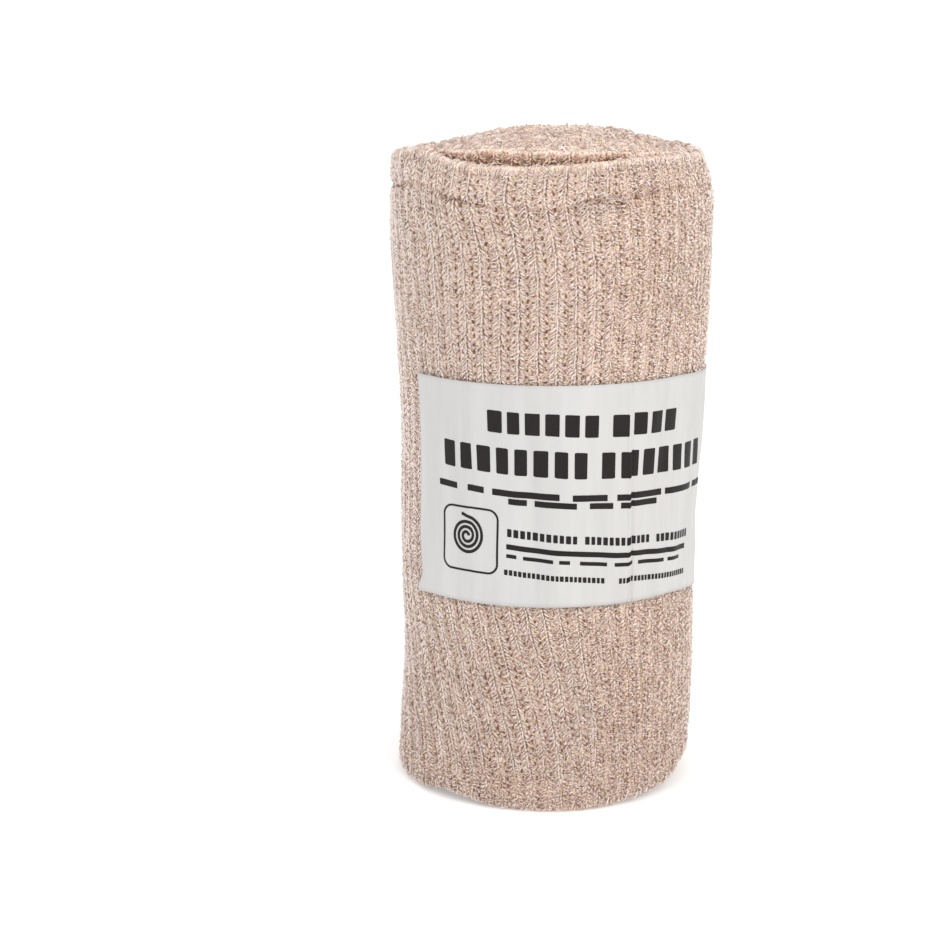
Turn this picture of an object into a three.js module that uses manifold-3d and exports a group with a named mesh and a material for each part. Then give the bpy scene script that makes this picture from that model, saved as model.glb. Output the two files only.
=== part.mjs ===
// An emergency trauma bandage, rolled up and standing on its lower edge.
// One long strip of elastic rib knit, hemmed along both edges, is wound from a tight core to a free end
// at the back. The last turn passes over the dressing pad that the strip carries, and a paper label is
// stuck to the outside of that turn.
// Millimetres, +Z up. The origin is on the floor, under the core. Angles are in degrees about Z: 0 is
// the front (-Y), 90 is the right side (+X), and they grow along the strip as it winds inwards.
import * as THREE from "three";
import { mergeVertices } from "three/addons/utils/BufferGeometryUtils.js";
import Module from "manifold-3d";

const wasm = await Module();
wasm.setup();

// The strip
const stripWidth = 152.4;
const rollRadius = 36;
const fabricThickness = 2;
const turnGap = 0.3;
const coreRadius = 5;
const coreOffset = 0.6; // how far right of the origin the core sits
const freeEndAngle = -150;

// The hems along its two edges
const hemWidth = 8.8;
const topDent = 0.45; // how deep the stitch line pulls the cloth in
const footDent = 0.15;
const edgeRound = 1; // height of the rounded edge
const edgeInset = 0.5; // and how far it steps in

// The dressing pad under the last turn
const padThickness = 2.2;
const padStart = -75;
const padEnd = 85;

// The label
const labelWidth = 101.6;
const labelHeight = 52.4;
const labelFoot = 50.3; // height of its lower edge
const labelThickness = 0.3;
const labelStart = -55.6;

const clearance = 0.3; // between pieces that touch
const outerStations = 36; // sections in a turn of the outer half
const innerStations = 18; // and in a turn near the core

// The pad reaches from one row of the outline below to another.
const padRows = [1, 7];

// The last turn's outline, in shares: height of the strip width, left and right of the roll radius.
const outline = [
  { height: 0.0, left: 1.0, right: 0.97 },
  { height: 0.105, left: 0.98, right: 0.99 },
  { height: 0.18, left: 0.96, right: 1.001 },
  { height: 0.4, left: 0.985, right: 0.996 },
  { height: 0.55, left: 0.97, right: 1.02 },
  { height: 0.72, left: 1.003, right: 1.064 },
  { height: 0.86, left: 1.04, right: 1.086 },
  { height: 0.9, left: 1.041, right: 1.086 },
  { height: 0.98, left: 1.035, right: 1.067 },
  { height: 1.02, left: 1.012, right: 1.025 },
];

// The inner roll swells towards the top less than the last turn does.
const innerOutline = [
  { height: 0.0, radius: 1.0 },
  { height: 0.55, radius: 1.0 },
  { height: 0.86, radius: 1.06 },
  { height: 1.05, radius: 1.065 },
];

// The last turn's upper and lower edge round the roll, in shares of the strip width.
const lastTurnEdges = [
  { angle: -150, top: 1.01, foot: 0.0 },
  { angle: -90, top: 1.0, foot: 0.003 },
  { angle: -60, top: 1.014, foot: 0.001 },
  { angle: -50, top: 1.015, foot: 0.01 },
  { angle: -36, top: 1.003, foot: 0.008 },
  { angle: -10, top: 0.998, foot: 0.0 },
  { angle: 14, top: 1.003, foot: 0.0 },
  { angle: 36, top: 1.008, foot: 0.005 },
  { angle: 60, top: 1.007, foot: 0.017 },
  { angle: 80, top: 1.004, foot: 0.033 },
  { angle: 100, top: 1.004, foot: 0.03 },
  { angle: 130, top: 1.006, foot: 0.008 },
  { angle: 170, top: 1.01, foot: 0.0 },
  { angle: 210, top: 1.016, foot: 0.0 },
];

// The inner roll's top is domed: its height in shares of the strip width, by shares of its radius.
const dome = [
  { radius: 0.0, top: 1.026 },
  { radius: 0.4, top: 1.028 },
  { radius: 0.7, top: 1.025 },
  { radius: 1.0, top: 1.02 },
];

const material = (name, color, roughness) =>
  new THREE.MeshStandardMaterial({ name, color, roughness, metalness: 0 });
const knitMaterial = material("elastic_knit", 0xdcc4b3, 0.95);
const gauzeMaterial = material("pad_gauze", 0xf1ede4, 0.95);
const paperMaterial = material("label_paper", 0xe3e1de, 0.6);

const pitch = fabricThickness + turnGap;
const innerShift = (padThickness + clearance) / 2; // the pad pushes the inner roll back
const waist = Math.min(...outline.map((row) => (row.left + row.right) / 2)) * rollRadius;
const innerRadius = waist - fabricThickness - clearance - innerShift;
const centre = new THREE.Vector2(coreOffset, innerShift);
const woundTurns = (innerRadius - fabricThickness - coreRadius) / pitch;
const lastStation = outerStations + Math.floor(woundTurns * innerStations) * (outerStations / innerStations);
const halfWay = outerStations + Math.floor(woundTurns / 2) * outerStations;

// The value in a table's column where another column has the value x, along straight lines.
function read(table, key, x, column) {
  const last = table.length - 1;
  if (x <= table[0][key]) return table[0][column];
  if (x >= table[last][key]) return table[last][column];
  const i = table.findIndex((row) => row[key] > x);
  const share = (x - table[i - 1][key]) / (table[i][key] - table[i - 1][key]);
  return THREE.MathUtils.lerp(table[i - 1][column], table[i][column], share);
}

function directionAt(angle) {
  const a = THREE.MathUtils.degToRad(angle);
  return new THREE.Vector2(Math.sin(a), -Math.cos(a));
}

// Distance from the origin to the last turn's outer face.
function outlineRadius(angle, z) {
  const height = z / stripWidth;
  const left = read(outline, "height", height, "left");
  const right = read(outline, "height", height, "right");
  const direction = directionAt(angle);
  const side = direction.x < 0 ? left : right;
  const depth = (left + right) / 2;
  return rollRadius * THREE.MathUtils.lerp(depth, side, direction.x * direction.x);
}

// A point on the outer face of the inner roll, turns after the free end.
function innerPoint(turns, angle, z) {
  const swell = read(innerOutline, "height", z / stripWidth, "radius");
  const radius = (innerRadius - pitch * (turns - 1)) * swell;
  return directionAt(angle).multiplyScalar(radius).add(centre);
}

// A point on the strip's outer face. The last turn's free end lies flat on the inner roll, and its last
// quarter runs into that roll.
function stripPoint(turns, z) {
  const angle = freeEndAngle + 360 * turns;
  const direction = directionAt(angle);
  if (turns >= 1) return innerPoint(turns, angle, z);
  const resting = innerPoint(turns + 1, angle, z).addScaledVector(direction, pitch);
  const joining = innerPoint(turns, angle, z);
  return direction
    .clone()
    .multiplyScalar(outlineRadius(angle, z))
    .lerp(resting, 1 - THREE.MathUtils.smoothstep(turns, 0, 0.16))
    .lerp(joining, THREE.MathUtils.smoothstep(turns, 0.75, 1));
}

function stripEdges(turns) {
  const angle = freeEndAngle + 360 * turns;
  if (turns <= 1) {
    return {
      foot: stripWidth * read(lastTurnEdges, "angle", angle, "foot"),
      top: stripWidth * read(lastTurnEdges, "angle", angle, "top"),
    };
  }
  const share = (innerRadius - pitch * (turns - 1)) / innerRadius;
  return { foot: 0, top: stripWidth * read(dome, "radius", share, "top") };
}

// One section of the strip as a ring of points: up the outer face, over the top, down the inner face.
// depth is the distance in from the outer face. around, from 0 to 4, says where a point is on the ring:
// under 2 on the outer face, over 2 on the inner one.
function stripSection(station) {
  const turns = station / outerStations;
  const { foot, top } = stripEdges(turns);
  const hemmed = turns <= 1;
  const t = fabricThickness;
  const rows = (hemmed ? outline : innerOutline)
    .map((row) => row.height * stripWidth)
    .filter((z) => z > foot + hemWidth + edgeRound && z < top - hemWidth - edgeRound);
  const ring = [{ depth: edgeInset, z: foot, around: 0 }];
  const up = (depth, z) => ring.push({ depth, z, around: 0.3 + z / stripWidth });
  const down = (depth, z) => ring.push({ depth, z, around: 3.7 - z / stripWidth });
  up(0, foot + edgeRound);
  if (hemmed) up(footDent, foot + hemWidth);
  rows.forEach((z) => up(0, z));
  if (hemmed) up(topDent, top - hemWidth);
  if (hemmed) up(0, top - hemWidth / 2);
  up(0, top - edgeRound);
  ring.push({ depth: edgeInset, z: top, around: 1.7 });
  ring.push({ depth: t - edgeInset, z: top, around: 2.3 });
  down(t, top - edgeRound);
  rows.reverse().forEach((z) => down(t, z));
  down(t, foot + edgeRound);
  ring.push({ depth: t - edgeInset, z: foot, around: 3.99 });
  const inward = directionAt(freeEndAngle + 360 * turns).negate();
  return ring.map(({ depth, z, around }) => {
    const p = stripPoint(turns, z).addScaledVector(inward, depth);
    return { around, point: new THREE.Vector3(p.x, p.y, z) };
  });
}

// A closed solid through rings of points, each ring sorted by around. Neighbouring rings may differ in
// their number of points: a band is filled by stepping along whichever of its two sides is behind.
function loft(rings) {
  const position = [];
  const index = [];
  const numbered = rings.map((ring) =>
    ring.map(({ around, point }) => {
      position.push(point.x, point.y, point.z);
      return { around, z: point.z, id: position.length / 3 - 1 };
    }),
  );
  function fill(a, b, key) {
    let [i, j] = [0, 0];
    while (i + 1 < a.length || j + 1 < b.length) {
      const stepA = j + 1 === b.length || (i + 1 < a.length && a[i + 1][key] <= b[j + 1][key]);
      if (stepA) index.push(a[i].id, b[j].id, a[++i].id);
      else index.push(a[i].id, b[j].id, b[++j].id);
    }
  }
  const close = (ring) => [...ring, { ...ring[0], around: 4 }];
  for (let r = 0; r + 1 < numbered.length; r++) fill(close(numbered[r]), close(numbered[r + 1]), "around");
  const outer = (ring) => ring.filter((p) => p.around < 2);
  const inner = (ring) => ring.filter((p) => p.around >= 2).reverse();
  const start = numbered[0];
  const end = numbered[numbered.length - 1];
  fill(inner(start), outer(start), "z");
  fill(outer(end), inner(end), "z");
  const geometry = new THREE.BufferGeometry();
  geometry.setAttribute("position", new THREE.Float32BufferAttribute(position, 3));
  geometry.setIndex(index);
  return geometry;
}

function toSolid(geometry) {
  const bare = new THREE.BufferGeometry();
  bare.setAttribute("position", geometry.getAttribute("position"));
  bare.setIndex(geometry.getIndex());
  const merged = mergeVertices(bare, 1e-4);
  return new wasm.Manifold(
    new wasm.Mesh({
      numProp: 3,
      vertProperties: new Float32Array(merged.attributes.position.array),
      triVerts: new Uint32Array(merged.index.array),
    }),
  );
}

function toGeometry(solid) {
  const mesh = solid.getMesh();
  const geometry = new THREE.BufferGeometry();
  geometry.setAttribute("position", new THREE.Float32BufferAttribute(mesh.vertProperties, 3));
  geometry.setIndex(new THREE.Uint32BufferAttribute(mesh.triVerts, 1));
  geometry.computeVertexNormals();
  return geometry;
}

// The strip, and the folds at its start that are pressed together into a solid core.
function elasticWrap() {
  const sections = [];
  for (let station = 0; station <= lastStation; ) {
    sections.push(stripSection(station));
    station += station < halfWay ? 1 : outerStations / innerStations;
  }
  const coreHeight = stripWidth * dome[0].top - edgeRound;
  const core = new THREE.CylinderGeometry(1, 1, coreHeight, innerStations);
  const radius = coreRadius + fabricThickness / 2;
  core.rotateX(Math.PI / 2).scale(radius, radius, 1);
  core.translate(centre.x, centre.y, coreHeight / 2);
  return toGeometry(toSolid(loft(sections)).add(toSolid(core)));
}

// A point where the flats between sections are, off the strip's outer face at turns and height z.
function flatPoint(pointAt, angle, z) {
  const step = 360 / outerStations;
  const station = (angle - freeEndAngle) / step;
  const before = Math.floor(station);
  const a = pointAt(before, z);
  const b = pointAt(before + 1, z);
  const direction = directionAt(angle);
  // where the ray from the origin at this angle meets the line from a to b
  const edge = b.clone().sub(a);
  const share = -a.cross(direction) / edge.cross(direction);
  return a.addScaledVector(edge, share);
}

const lastTurnFace = (station, z) => stripPoint(station / outerStations, z);
const lastTurnBack = (station, z) => {
  const turns = station / outerStations;
  return stripPoint(turns, z).addScaledVector(directionAt(freeEndAngle + 360 * turns), -fabricThickness);
};
const innerRollFace = (station, z) => stripPoint(1 + station / outerStations, z);

// The angles of a piece's sections: its two ends, and the strip's own sections between them.
function sectionAngles(start, end) {
  const step = 360 / outerStations;
  const angles = [start];
  for (let k = Math.ceil((start - freeEndAngle) / step + 0.05); ; k++) {
    const angle = freeEndAngle + k * step;
    if (angle > end - 0.05 * step) break;
    angles.push(angle);
  }
  return [...angles, end];
}

// A sheet between two faces, through the given angles and heights. Each face is a function of both.
function sheet(angles, heights, outerFace, innerFace) {
  const at = (face, angle, z, around) => {
    const p = face(angle, z);
    return { around, point: new THREE.Vector3(p.x, p.y, z) };
  };
  const last = heights.length - 1;
  return loft(
    angles.map((angle) => [
      ...heights.map((z, i) => at(outerFace, angle, z, (2 * i) / (last + 1))),
      ...heights.map((_, i) => at(innerFace, angle, heights[last - i], 2 + (2 * i) / (last + 1))),
    ]),
  );
}

const rowHeight = (row) => outline[row].height * stripWidth;
const rowsBetween = (foot, top) => [
  foot,
  ...outline.map((row) => row.height * stripWidth).filter((z) => z > foot + edgeRound && z < top - edgeRound),
  top,
];

function offsetFace(pointAt, offset) {
  return (angle, z) => flatPoint(pointAt, angle, z).addScaledVector(directionAt(angle), offset);
}

function dressingPad() {
  return sheet(
    sectionAngles(padStart, padEnd),
    rowsBetween(...padRows.map(rowHeight)),
    offsetFace(lastTurnBack, -clearance),
    offsetFace(innerRollFace, clearance),
  );
}

function label() {
  const middle = outlineRadius(0, labelFoot + labelHeight / 2) + clearance + labelThickness / 2;
  const labelEnd = labelStart + THREE.MathUtils.radToDeg(labelWidth / middle);
  return sheet(
    sectionAngles(labelStart, labelEnd),
    rowsBetween(labelFoot, labelFoot + labelHeight),
    offsetFace(lastTurnFace, clearance + labelThickness),
    offsetFace(lastTurnFace, clearance),
  );
}

function mesh(name, geometry, finish) {
  const made = new THREE.Mesh(geometry, finish);
  made.name = name;
  return made;
}

const bandage = new THREE.Group();
bandage.add(mesh("elastic_wrap", elasticWrap(), knitMaterial));
bandage.add(mesh("dressing_pad", dressingPad(), gauzeMaterial));
bandage.add(mesh("label", label(), paperMaterial));

export default bandage;
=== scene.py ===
import math
import bpy
import numpy as np
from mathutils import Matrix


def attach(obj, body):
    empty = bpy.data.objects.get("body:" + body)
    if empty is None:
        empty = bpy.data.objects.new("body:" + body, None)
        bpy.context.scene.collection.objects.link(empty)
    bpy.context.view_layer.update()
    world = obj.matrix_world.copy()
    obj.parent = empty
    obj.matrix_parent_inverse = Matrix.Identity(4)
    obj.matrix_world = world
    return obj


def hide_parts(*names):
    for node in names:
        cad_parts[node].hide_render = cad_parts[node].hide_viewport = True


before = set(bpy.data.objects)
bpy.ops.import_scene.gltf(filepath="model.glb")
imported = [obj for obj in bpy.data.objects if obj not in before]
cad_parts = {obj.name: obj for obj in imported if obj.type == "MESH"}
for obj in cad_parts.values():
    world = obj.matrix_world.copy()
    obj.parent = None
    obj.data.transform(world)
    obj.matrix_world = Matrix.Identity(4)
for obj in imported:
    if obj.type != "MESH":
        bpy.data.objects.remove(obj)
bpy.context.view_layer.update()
mm = 0.001
print("stage: frame loaded,", len(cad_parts), "nodes")

# The roll's own shape, in mm and shares, as the solids have it. Angles: 0 is the front, 90 the right side.
roll = {
    "stripWidth": 152.4,
    "radius": 36.0,
    "thickness": 2.0,
    "pitch": 2.3,
    "padThickness": 2.2,
    "clearance": 0.3,
    "coreX": 0.6,
    "coreX": 0.6,
    "lastCoil": 2.1,  # radius at which the winding stops
    "freeEnd": -150.0,
    "halfWay": 76.0,  # z at which lengths along the strip are measured
    "restTurns": 0.16,  # turns over which the free end lifts off the inner roll
    "joinTurns": (0.75, 1.0),  # turns over which the last turn's other end runs into it
    "outlineHeight": [0.0, 0.105, 0.18, 0.4, 0.55, 0.72, 0.86, 0.9, 0.96, 0.98, 1.02],
    "outlineLeft": [1.0, 0.98, 0.96, 0.985, 0.97, 1.003, 1.04, 1.041, 1.038, 1.035, 1.012],
    "outlineRight": [0.97, 0.99, 1.001, 0.996, 1.02, 1.064, 1.086, 1.086, 1.067, 1.035, 0.99],
    "innerHeight": [0.0, 0.55, 0.86, 1.05],
    "innerSwell": [1.0, 1.0, 1.06, 1.065],
    "topAngle": [-150, -90, -60, -50, -36, -10, 14, 36, 60, 80, 100, 130, 170, 210],
    "edgeTop": [1.004, 1.0, 1.014, 1.015, 1.003, 0.998, 1.003, 1.008, 1.007, 1.004, 1.004, 1.006,
                1.008, 1.006],
    "footAngle": [-150, -110, -90, -72, -60, -50, -42, -33, -20, -10, 14, 36, 60, 70, 80, 100, 130, 170, 210],
    "edgeFoot": [0.0, 0.005, 0.011, 0.006, 0.0035, 0.009, 0.0125, 0.008, 0.003, 0.0, 0.0, 0.005, 0.017, 0.03,
                 0.038, 0.034, 0.008, 0.0, 0.0],
    "domeShare": [0.0, 0.4, 0.7, 1.0],
    "domeTop": [1.026, 1.028, 1.025, 1.019],
    "pressAngle": [-180, -115, -95, -62, -45, 10, 45, 75, 110, 140, 180],
    "press": [0, 0, 0.9, 0.9, 0, 0, 1.2, 1.9, 1.9, 0, 0],
    "pressZ": (126, 147),
    "pressTurns": (1, 7),  # the turns pressed out against the last one, less and less inwards
    "leanAngle": [-180, -120, -60, -45, 20, 45, 75, 180],
    "leanOut": [0, 0, 0.6, 2.0, 2.0, 1.0, 0, 0],  # mm that the next turns lean over the last one's edge
    "leanTurns": [0, 1, 0.6, 0.3, 0],  # each turn's share of that, from the last one inwards
    "leanZone": (-9, -3),  # mm from the upper edge
    "sunkAngle": [-180, -158, -148, -136, -104, -75, -30, 0, 30, 60, 93, 112, 135, 150, 180],
    "sunkDrop": [0.001, 0.003, 0.013, 0.0195, 0.0205, 0.016, 0.002, 0.0, 0.002, 0.008, 0.0145, 0.013, 0.008,
                 0.001, 0.001],
}

# Where the hems' stitch lines run, and how deep they pull the cloth in.
hem = {
    "topAngle": [-150, -75, -48, -36, -24, -14, 7, 18, 26, 46, 86, 130, 210],
    "topZ": [145.0, 145.2, 146.6, 144.4, 143.1, 142.7, 143.1, 144.5, 145.2, 146.0, 145.4, 145.0, 145.5],
    "topDent": [0.4, 0.75, 0.7, 0.6, 0.55, 0.45, 0.3, 0.35, 0.45, 0.35, 0.35, 0.4, 0.4],
    "topSwell": 0.22,  # the doubled cloth stands this much prouder
    "footZ": 8.8,
    "footDent": 0.22,
    "footSwell": 0.12,
    "dentWidth": 0.75,
    "footWidth": 0.9,
    "rightDent": 0.3,  # on the right the lower stitch line is this much deeper
    "rightRise": 2.5,  # and higher
}

# The knit: upright cords, and between each two a column of V-shaped yarns with holes down its middle.
# Across is counted in repeats of the rib, with a whole number at the narrow groove right of each cord.
knit = {
    "repeats": 54,
    "arcRadius": 36.3,
    "course": 1.75,
    "holes": (0.41, 0.71),  # the main one, and a weak one
    "hemZone": (5, 42),  # degrees between which the hem's yarns are in disorder
    "stagger": 0.45,  # mm that neighbouring repeats are out of step
    "leanHeight": [0, 15, 45, 60, 100, 124, 130, 136, 142, 145, 156],
    "leanSlope": [0.05, 0.24, 0.25, 0.08, 0.0, 0.02, 0.08, 0.22, 0.26, 0.03, 0.0],
    "leanAngle": [-150, -90, -40, 0, 25, 50, 90, 150, 210],
    "leanShare": [0.2, 0.5, 1.0, 0.85, 0.45, 0.12, 0.1, 0.3, 0.2],
    # painted shade: the yarns, and the ground half as much, are made darker towards the foot
    "footShade": 0.2,  # how much darker the yarns get towards the foot
}

# The knit on the last turn, and what shows of the next turn over the last one's edge
outerBand = {"shift": 0, "rows": (0.0, 156.0), "thick": 1, "lift": 0, "tone": 0}
# the inner band's tone is painted shade, darker in the groove behind the last turn's edge
innerBand = {"shift": 1, "rows": (139.0, 158.0), "thick": 1.3, "lift": 0.2, "tone": -0.3}


def smoothRead(xs, ys, x):  # a smooth line through a table's points, flat beyond its ends
    xs, ys = np.asarray(xs, float), np.asarray(ys, float)
    x = np.clip(x, xs[0], xs[-1])
    slope = np.gradient(ys, xs)
    slope[0] = slope[-1] = 0
    i = np.clip(np.searchsorted(xs, x, side="right") - 1, 0, len(xs) - 2)
    h = xs[i + 1] - xs[i]
    t = (x - xs[i]) / h
    start = (2 * t**3 - 3 * t**2 + 1) * ys[i] + (t**3 - 2 * t**2 + t) * h * slope[i]
    return start + (3 * t**2 - 2 * t**3) * ys[i + 1] + (t**3 - t**2) * h * slope[i + 1]


def smoothstep(x, a, b):
    t = np.clip((x - a) / (b - a), 0, 1)
    return t * t * (3 - 2 * t)


def hill(x, width):  # 1 at 0, falling away to 0 on both sides
    return np.exp(-((x / width) ** 2))


def nearFoot(z):
    return 1 - smoothstep(z, 0, 80)


def ripple(seed, x, y, size, count=7):  # gentle noise of about -1 to 1, features about size mm across
    r = np.random.default_rng(seed)
    heading, phase = r.uniform(0, 2 * np.pi, (2, count))
    wave = 2 * np.pi / (size * r.uniform(1.4, 3.2, count))
    total = 0
    for a, p, k in zip(heading, phase, wave):
        total = total + np.sin(k * (np.cos(a) * x + np.sin(a) * y) + p)
    return total / math.sqrt(count)


def direction(angle):
    a = np.radians(angle)
    return np.sin(a), -np.cos(a)


def wrapped(angle):  # the same direction, between -180 and 180
    return (angle + 180) % 360 - 180


def angleAt(turns):  # turns are counted from the free end inwards
    return roll["freeEnd"] + 360 * turns


def turnsOf(angle):
    return (angle - roll["freeEnd"]) / 360


def arcAt(angle):  # mm along the last turn, 0 at the front
    return np.radians(angle) * knit["arcRadius"]


def angleOf(arc):
    return np.degrees(arc / knit["arcRadius"])


rowDepth = (np.array(roll["outlineLeft"]) + np.array(roll["outlineRight"])) / 2
innerShift = (roll["padThickness"] + roll["clearance"]) / 2
waist = rowDepth.min() * roll["radius"]
innerRadius = waist - roll["thickness"] - roll["clearance"] - innerShift
windings = 1 + (innerRadius - roll["lastCoil"]) / roll["pitch"]


def outlineRadius(angle, z):
    share = z / roll["stripWidth"]
    left = smoothRead(roll["outlineHeight"], roll["outlineLeft"], share)
    right = smoothRead(roll["outlineHeight"], roll["outlineRight"], share)
    across, _ = direction(angle)
    depth = (left + right) / 2
    side = np.where(across < 0, left, right)
    return roll["radius"] * (depth + (side - depth) * across**2)


def innerXY(turns, angle, z):
    swell = smoothRead(roll["innerHeight"], roll["innerSwell"], z / roll["stripWidth"])
    radius = (innerRadius - roll["pitch"] * (turns - 1)) * swell
    press = smoothRead(roll["pressAngle"], roll["press"], wrapped(angle))
    radius = radius + press * smoothstep(z, *roll["pressZ"]) * (1 - smoothstep(turns, *roll["pressTurns"]))
    dx, dy = direction(angle)
    return dx * radius + roll["coreX"], dy * radius + innerShift


def stripEdges(turns):  # the strip's lower and upper edge
    angle = angleAt(turns)
    foot = roll["stripWidth"] * np.maximum(smoothRead(roll["footAngle"], roll["edgeFoot"], angle), 0)
    top = roll["stripWidth"] * smoothRead(roll["topAngle"], roll["edgeTop"], angle)
    share = (innerRadius - roll["pitch"] * (turns - 1)) / innerRadius
    drop = smoothRead(roll["sunkAngle"], roll["sunkDrop"], wrapped(angle))
    innerTop = smoothRead(roll["domeShare"], roll["domeTop"], share) - drop * smoothstep(share, 0.45, 0.95)
    innerTop = roll["stripWidth"] * innerTop
    loose = 0.35 * np.sin(11.3 * turns) + 0.3 * np.sin(4.7 * turns + 1)  # no two turns are quite level
    loose = loose + 0.16 * np.sin(61 * turns) + 0.2 * np.sin(103 * turns + np.sin(29 * turns))
    joined = smoothstep(turns, 0.9, 1.05)
    return foot * (1 - joined), top * (1 - joined) + (innerTop + loose) * joined


def seamZ(angle):
    return smoothRead(hem["topAngle"], hem["topZ"], angle)


def relief(angle, z):  # how far the last turn's face stands off its plain outline
    seam = seamZ(angle)
    dent = smoothRead(hem["topAngle"], hem["topDent"], angle)
    out = -dent * hill(z - seam, hem["dentWidth"])
    out += hem["topSwell"] * smoothstep(z, seam - 0.4, seam + 1.2)
    right = smoothstep(angle, 20, 60)
    fromSeam = z - hem["footZ"] - hem["rightRise"] * right
    out -= (hem["footDent"] + hem["rightDent"] * right) * hill(fromSeam, hem["footWidth"])
    out += hem["footSwell"] * smoothstep(-z, -hem["footZ"] - 1, -hem["footZ"] + 0.5)
    arc = np.radians(angle) * roll["radius"]
    return out + 0.16 * ripple(3, arc, z, 16) + 0.07 * ripple(4, arc, z, 5)


def stripPoint(turns, z, height):  # height mm off the strip's outer face, in mm; arrays broadcast
    turns, z, height = np.broadcast_arrays(*(np.asarray(v, float) for v in (turns, z, height)))
    angle = angleAt(turns)
    dx, dy = direction(angle)
    jx, jy = innerXY(turns, angle, z)
    rx, ry = innerXY(turns + 1, angle, z)
    radius = outlineRadius(angle, z)
    resting = 1 - smoothstep(turns, 0, roll["restTurns"])
    joining = smoothstep(turns, *roll["joinTurns"])
    x = dx * radius * (1 - resting) + (rx + dx * roll["pitch"]) * resting
    y = dy * radius * (1 - resting) + (ry + dy * roll["pitch"]) * resting
    x = x * (1 - joining) + jx * joining
    y = y * (1 - joining) + jy * joining
    off = height + relief(angle, z) * (1 - smoothstep(turns, 0.9, 1))
    top = stripEdges(turns)[1]
    share = np.array(roll["leanTurns"], float)[np.clip(np.floor(turns), 0, 4).astype(int)]
    leaning = smoothRead(roll["leanAngle"], roll["leanOut"], wrapped(angle))
    off = off + share * leaning * smoothstep(z - top, *roll["leanZone"])
    return np.stack([x + dx * off, y + dy * off, z], -1)


def outwardAt(turns, shape):
    dx, dy = direction(angleAt(np.broadcast_to(turns, shape)))
    return np.stack([dx, dy, np.zeros(shape)], -1)


def alongStrip(steps):  # turns, and the mm from the free end to each
    t = np.linspace(0, windings, steps)
    p = stripPoint(t, roll["halfWay"], -roll["thickness"] / 2)
    return t, np.concatenate([[0], np.cumsum(np.linalg.norm(np.diff(p, axis=0), axis=1))])


# Mesh making
def buildMesh(name, points, faces, material, slotName, facts=None, uvs=None):  # points in mm
    mesh = bpy.data.meshes.new(name)
    faces = [np.asarray(f, np.int32) for f in faces if len(f)]
    corners = np.concatenate([f.ravel() for f in faces])
    sizes = np.concatenate([np.full(len(f), f.shape[1], np.int32) for f in faces])
    starts = np.concatenate([[0], np.cumsum(sizes)[:-1]]).astype(np.int32)
    mesh.vertices.add(len(points))
    mesh.vertices.foreach_set("co", (np.asarray(points, np.float32) * mm).ravel())
    mesh.loops.add(len(corners))
    mesh.loops.foreach_set("vertex_index", corners)
    mesh.polygons.add(len(sizes))
    mesh.polygons.foreach_set("loop_start", starts)
    mesh.polygons.foreach_set("use_smooth", np.ones(len(sizes), bool))
    mesh.update(calc_edges=True)
    mesh.validate()
    for layerName, layer in (uvs or {}).items():
        made = mesh.uv_layers.new(name=layerName)
        made.data.foreach_set("uv", np.asarray(layer, np.float32)[corners].ravel())
    for key, values in (facts or {}).items():
        made = mesh.attributes.new(key, "FLOAT", "POINT")
        made.data.foreach_set("value", np.asarray(values, np.float32).ravel())
    obj = bpy.data.objects.new(name, mesh)
    bpy.context.scene.collection.objects.link(obj)
    mesh.materials.append(material)
    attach(obj, "root")
    return obj


def perVertex(values, rings, sides):  # one value a yarn, or one a ring, to every vertex of its tube
    values = np.asarray(values, float).reshape(len(values), -1)
    values = np.broadcast_to(values, (len(values), rings))
    body = np.repeat(values[:, 1:-1], sides, 1)
    return np.concatenate([values[:, :1], body, values[:, -1:]], 1).ravel()


def yarns(paths, radii, outward, sides=3, **facts):  # tubes with pointed ends: paths (yarn, ring, xyz)
    tangent = np.gradient(paths, axis=1)
    tangent /= np.linalg.norm(tangent, axis=2, keepdims=True) + 1e-12
    across = np.cross(tangent, outward)
    across /= np.linalg.norm(across, axis=2, keepdims=True) + 1e-12
    up = np.cross(across, tangent)
    turn = 2 * np.pi * np.arange(sides) / sides
    ring = up[:, 1:-1, None] * np.cos(turn)[:, None] + across[:, 1:-1, None] * np.sin(turn)[:, None]
    body = paths[:, 1:-1, None] + radii[:, 1:-1, None, None] * ring
    count, rings = radii.shape[0], radii.shape[1] - 2
    points = np.concatenate([paths[:, :1], body.reshape(count, -1, 3), paths[:, -1:]], 1)
    each = rings * sides + 2
    first = np.arange(count)[:, None] * each
    index = (first + 1 + np.arange(rings * sides)).reshape(count, rings, sides)
    a, b = index[:, :-1], index[:, 1:]
    walls = np.stack([a, np.roll(a, -1, 2), np.roll(b, -1, 2), b], -1).reshape(-1, 4)
    start = np.broadcast_to(first, (count, sides))
    head = np.stack([start, np.roll(index[:, 0], -1, 1), index[:, 0]], -1).reshape(-1, 3)
    tail = np.stack([start + each - 1, index[:, -1], np.roll(index[:, -1], -1, 1)], -1).reshape(-1, 3)
    facts = {key: perVertex(values, rings + 2, sides) for key, values in facts.items()}
    return points.reshape(-1, 3), [walls, head, tail], facts


def joinParts(parts):  # [(points, faces, facts dict)] into one
    points, faces, facts, start = [], [], {}, 0
    for p, f, extra in parts:
        points.append(p)
        faces += [np.asarray(g) + start for g in f]
        for key, values in extra.items():
            facts.setdefault(key, []).append(values)
        start += len(p)
    return np.concatenate(points), faces, {k: np.concatenate(v) for k, v in facts.items()}


def gridQuads(index):
    return np.stack([index[:-1, :-1], index[1:, :-1], index[1:, 1:], index[:-1, 1:]], -1).reshape(-1, 4)


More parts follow.
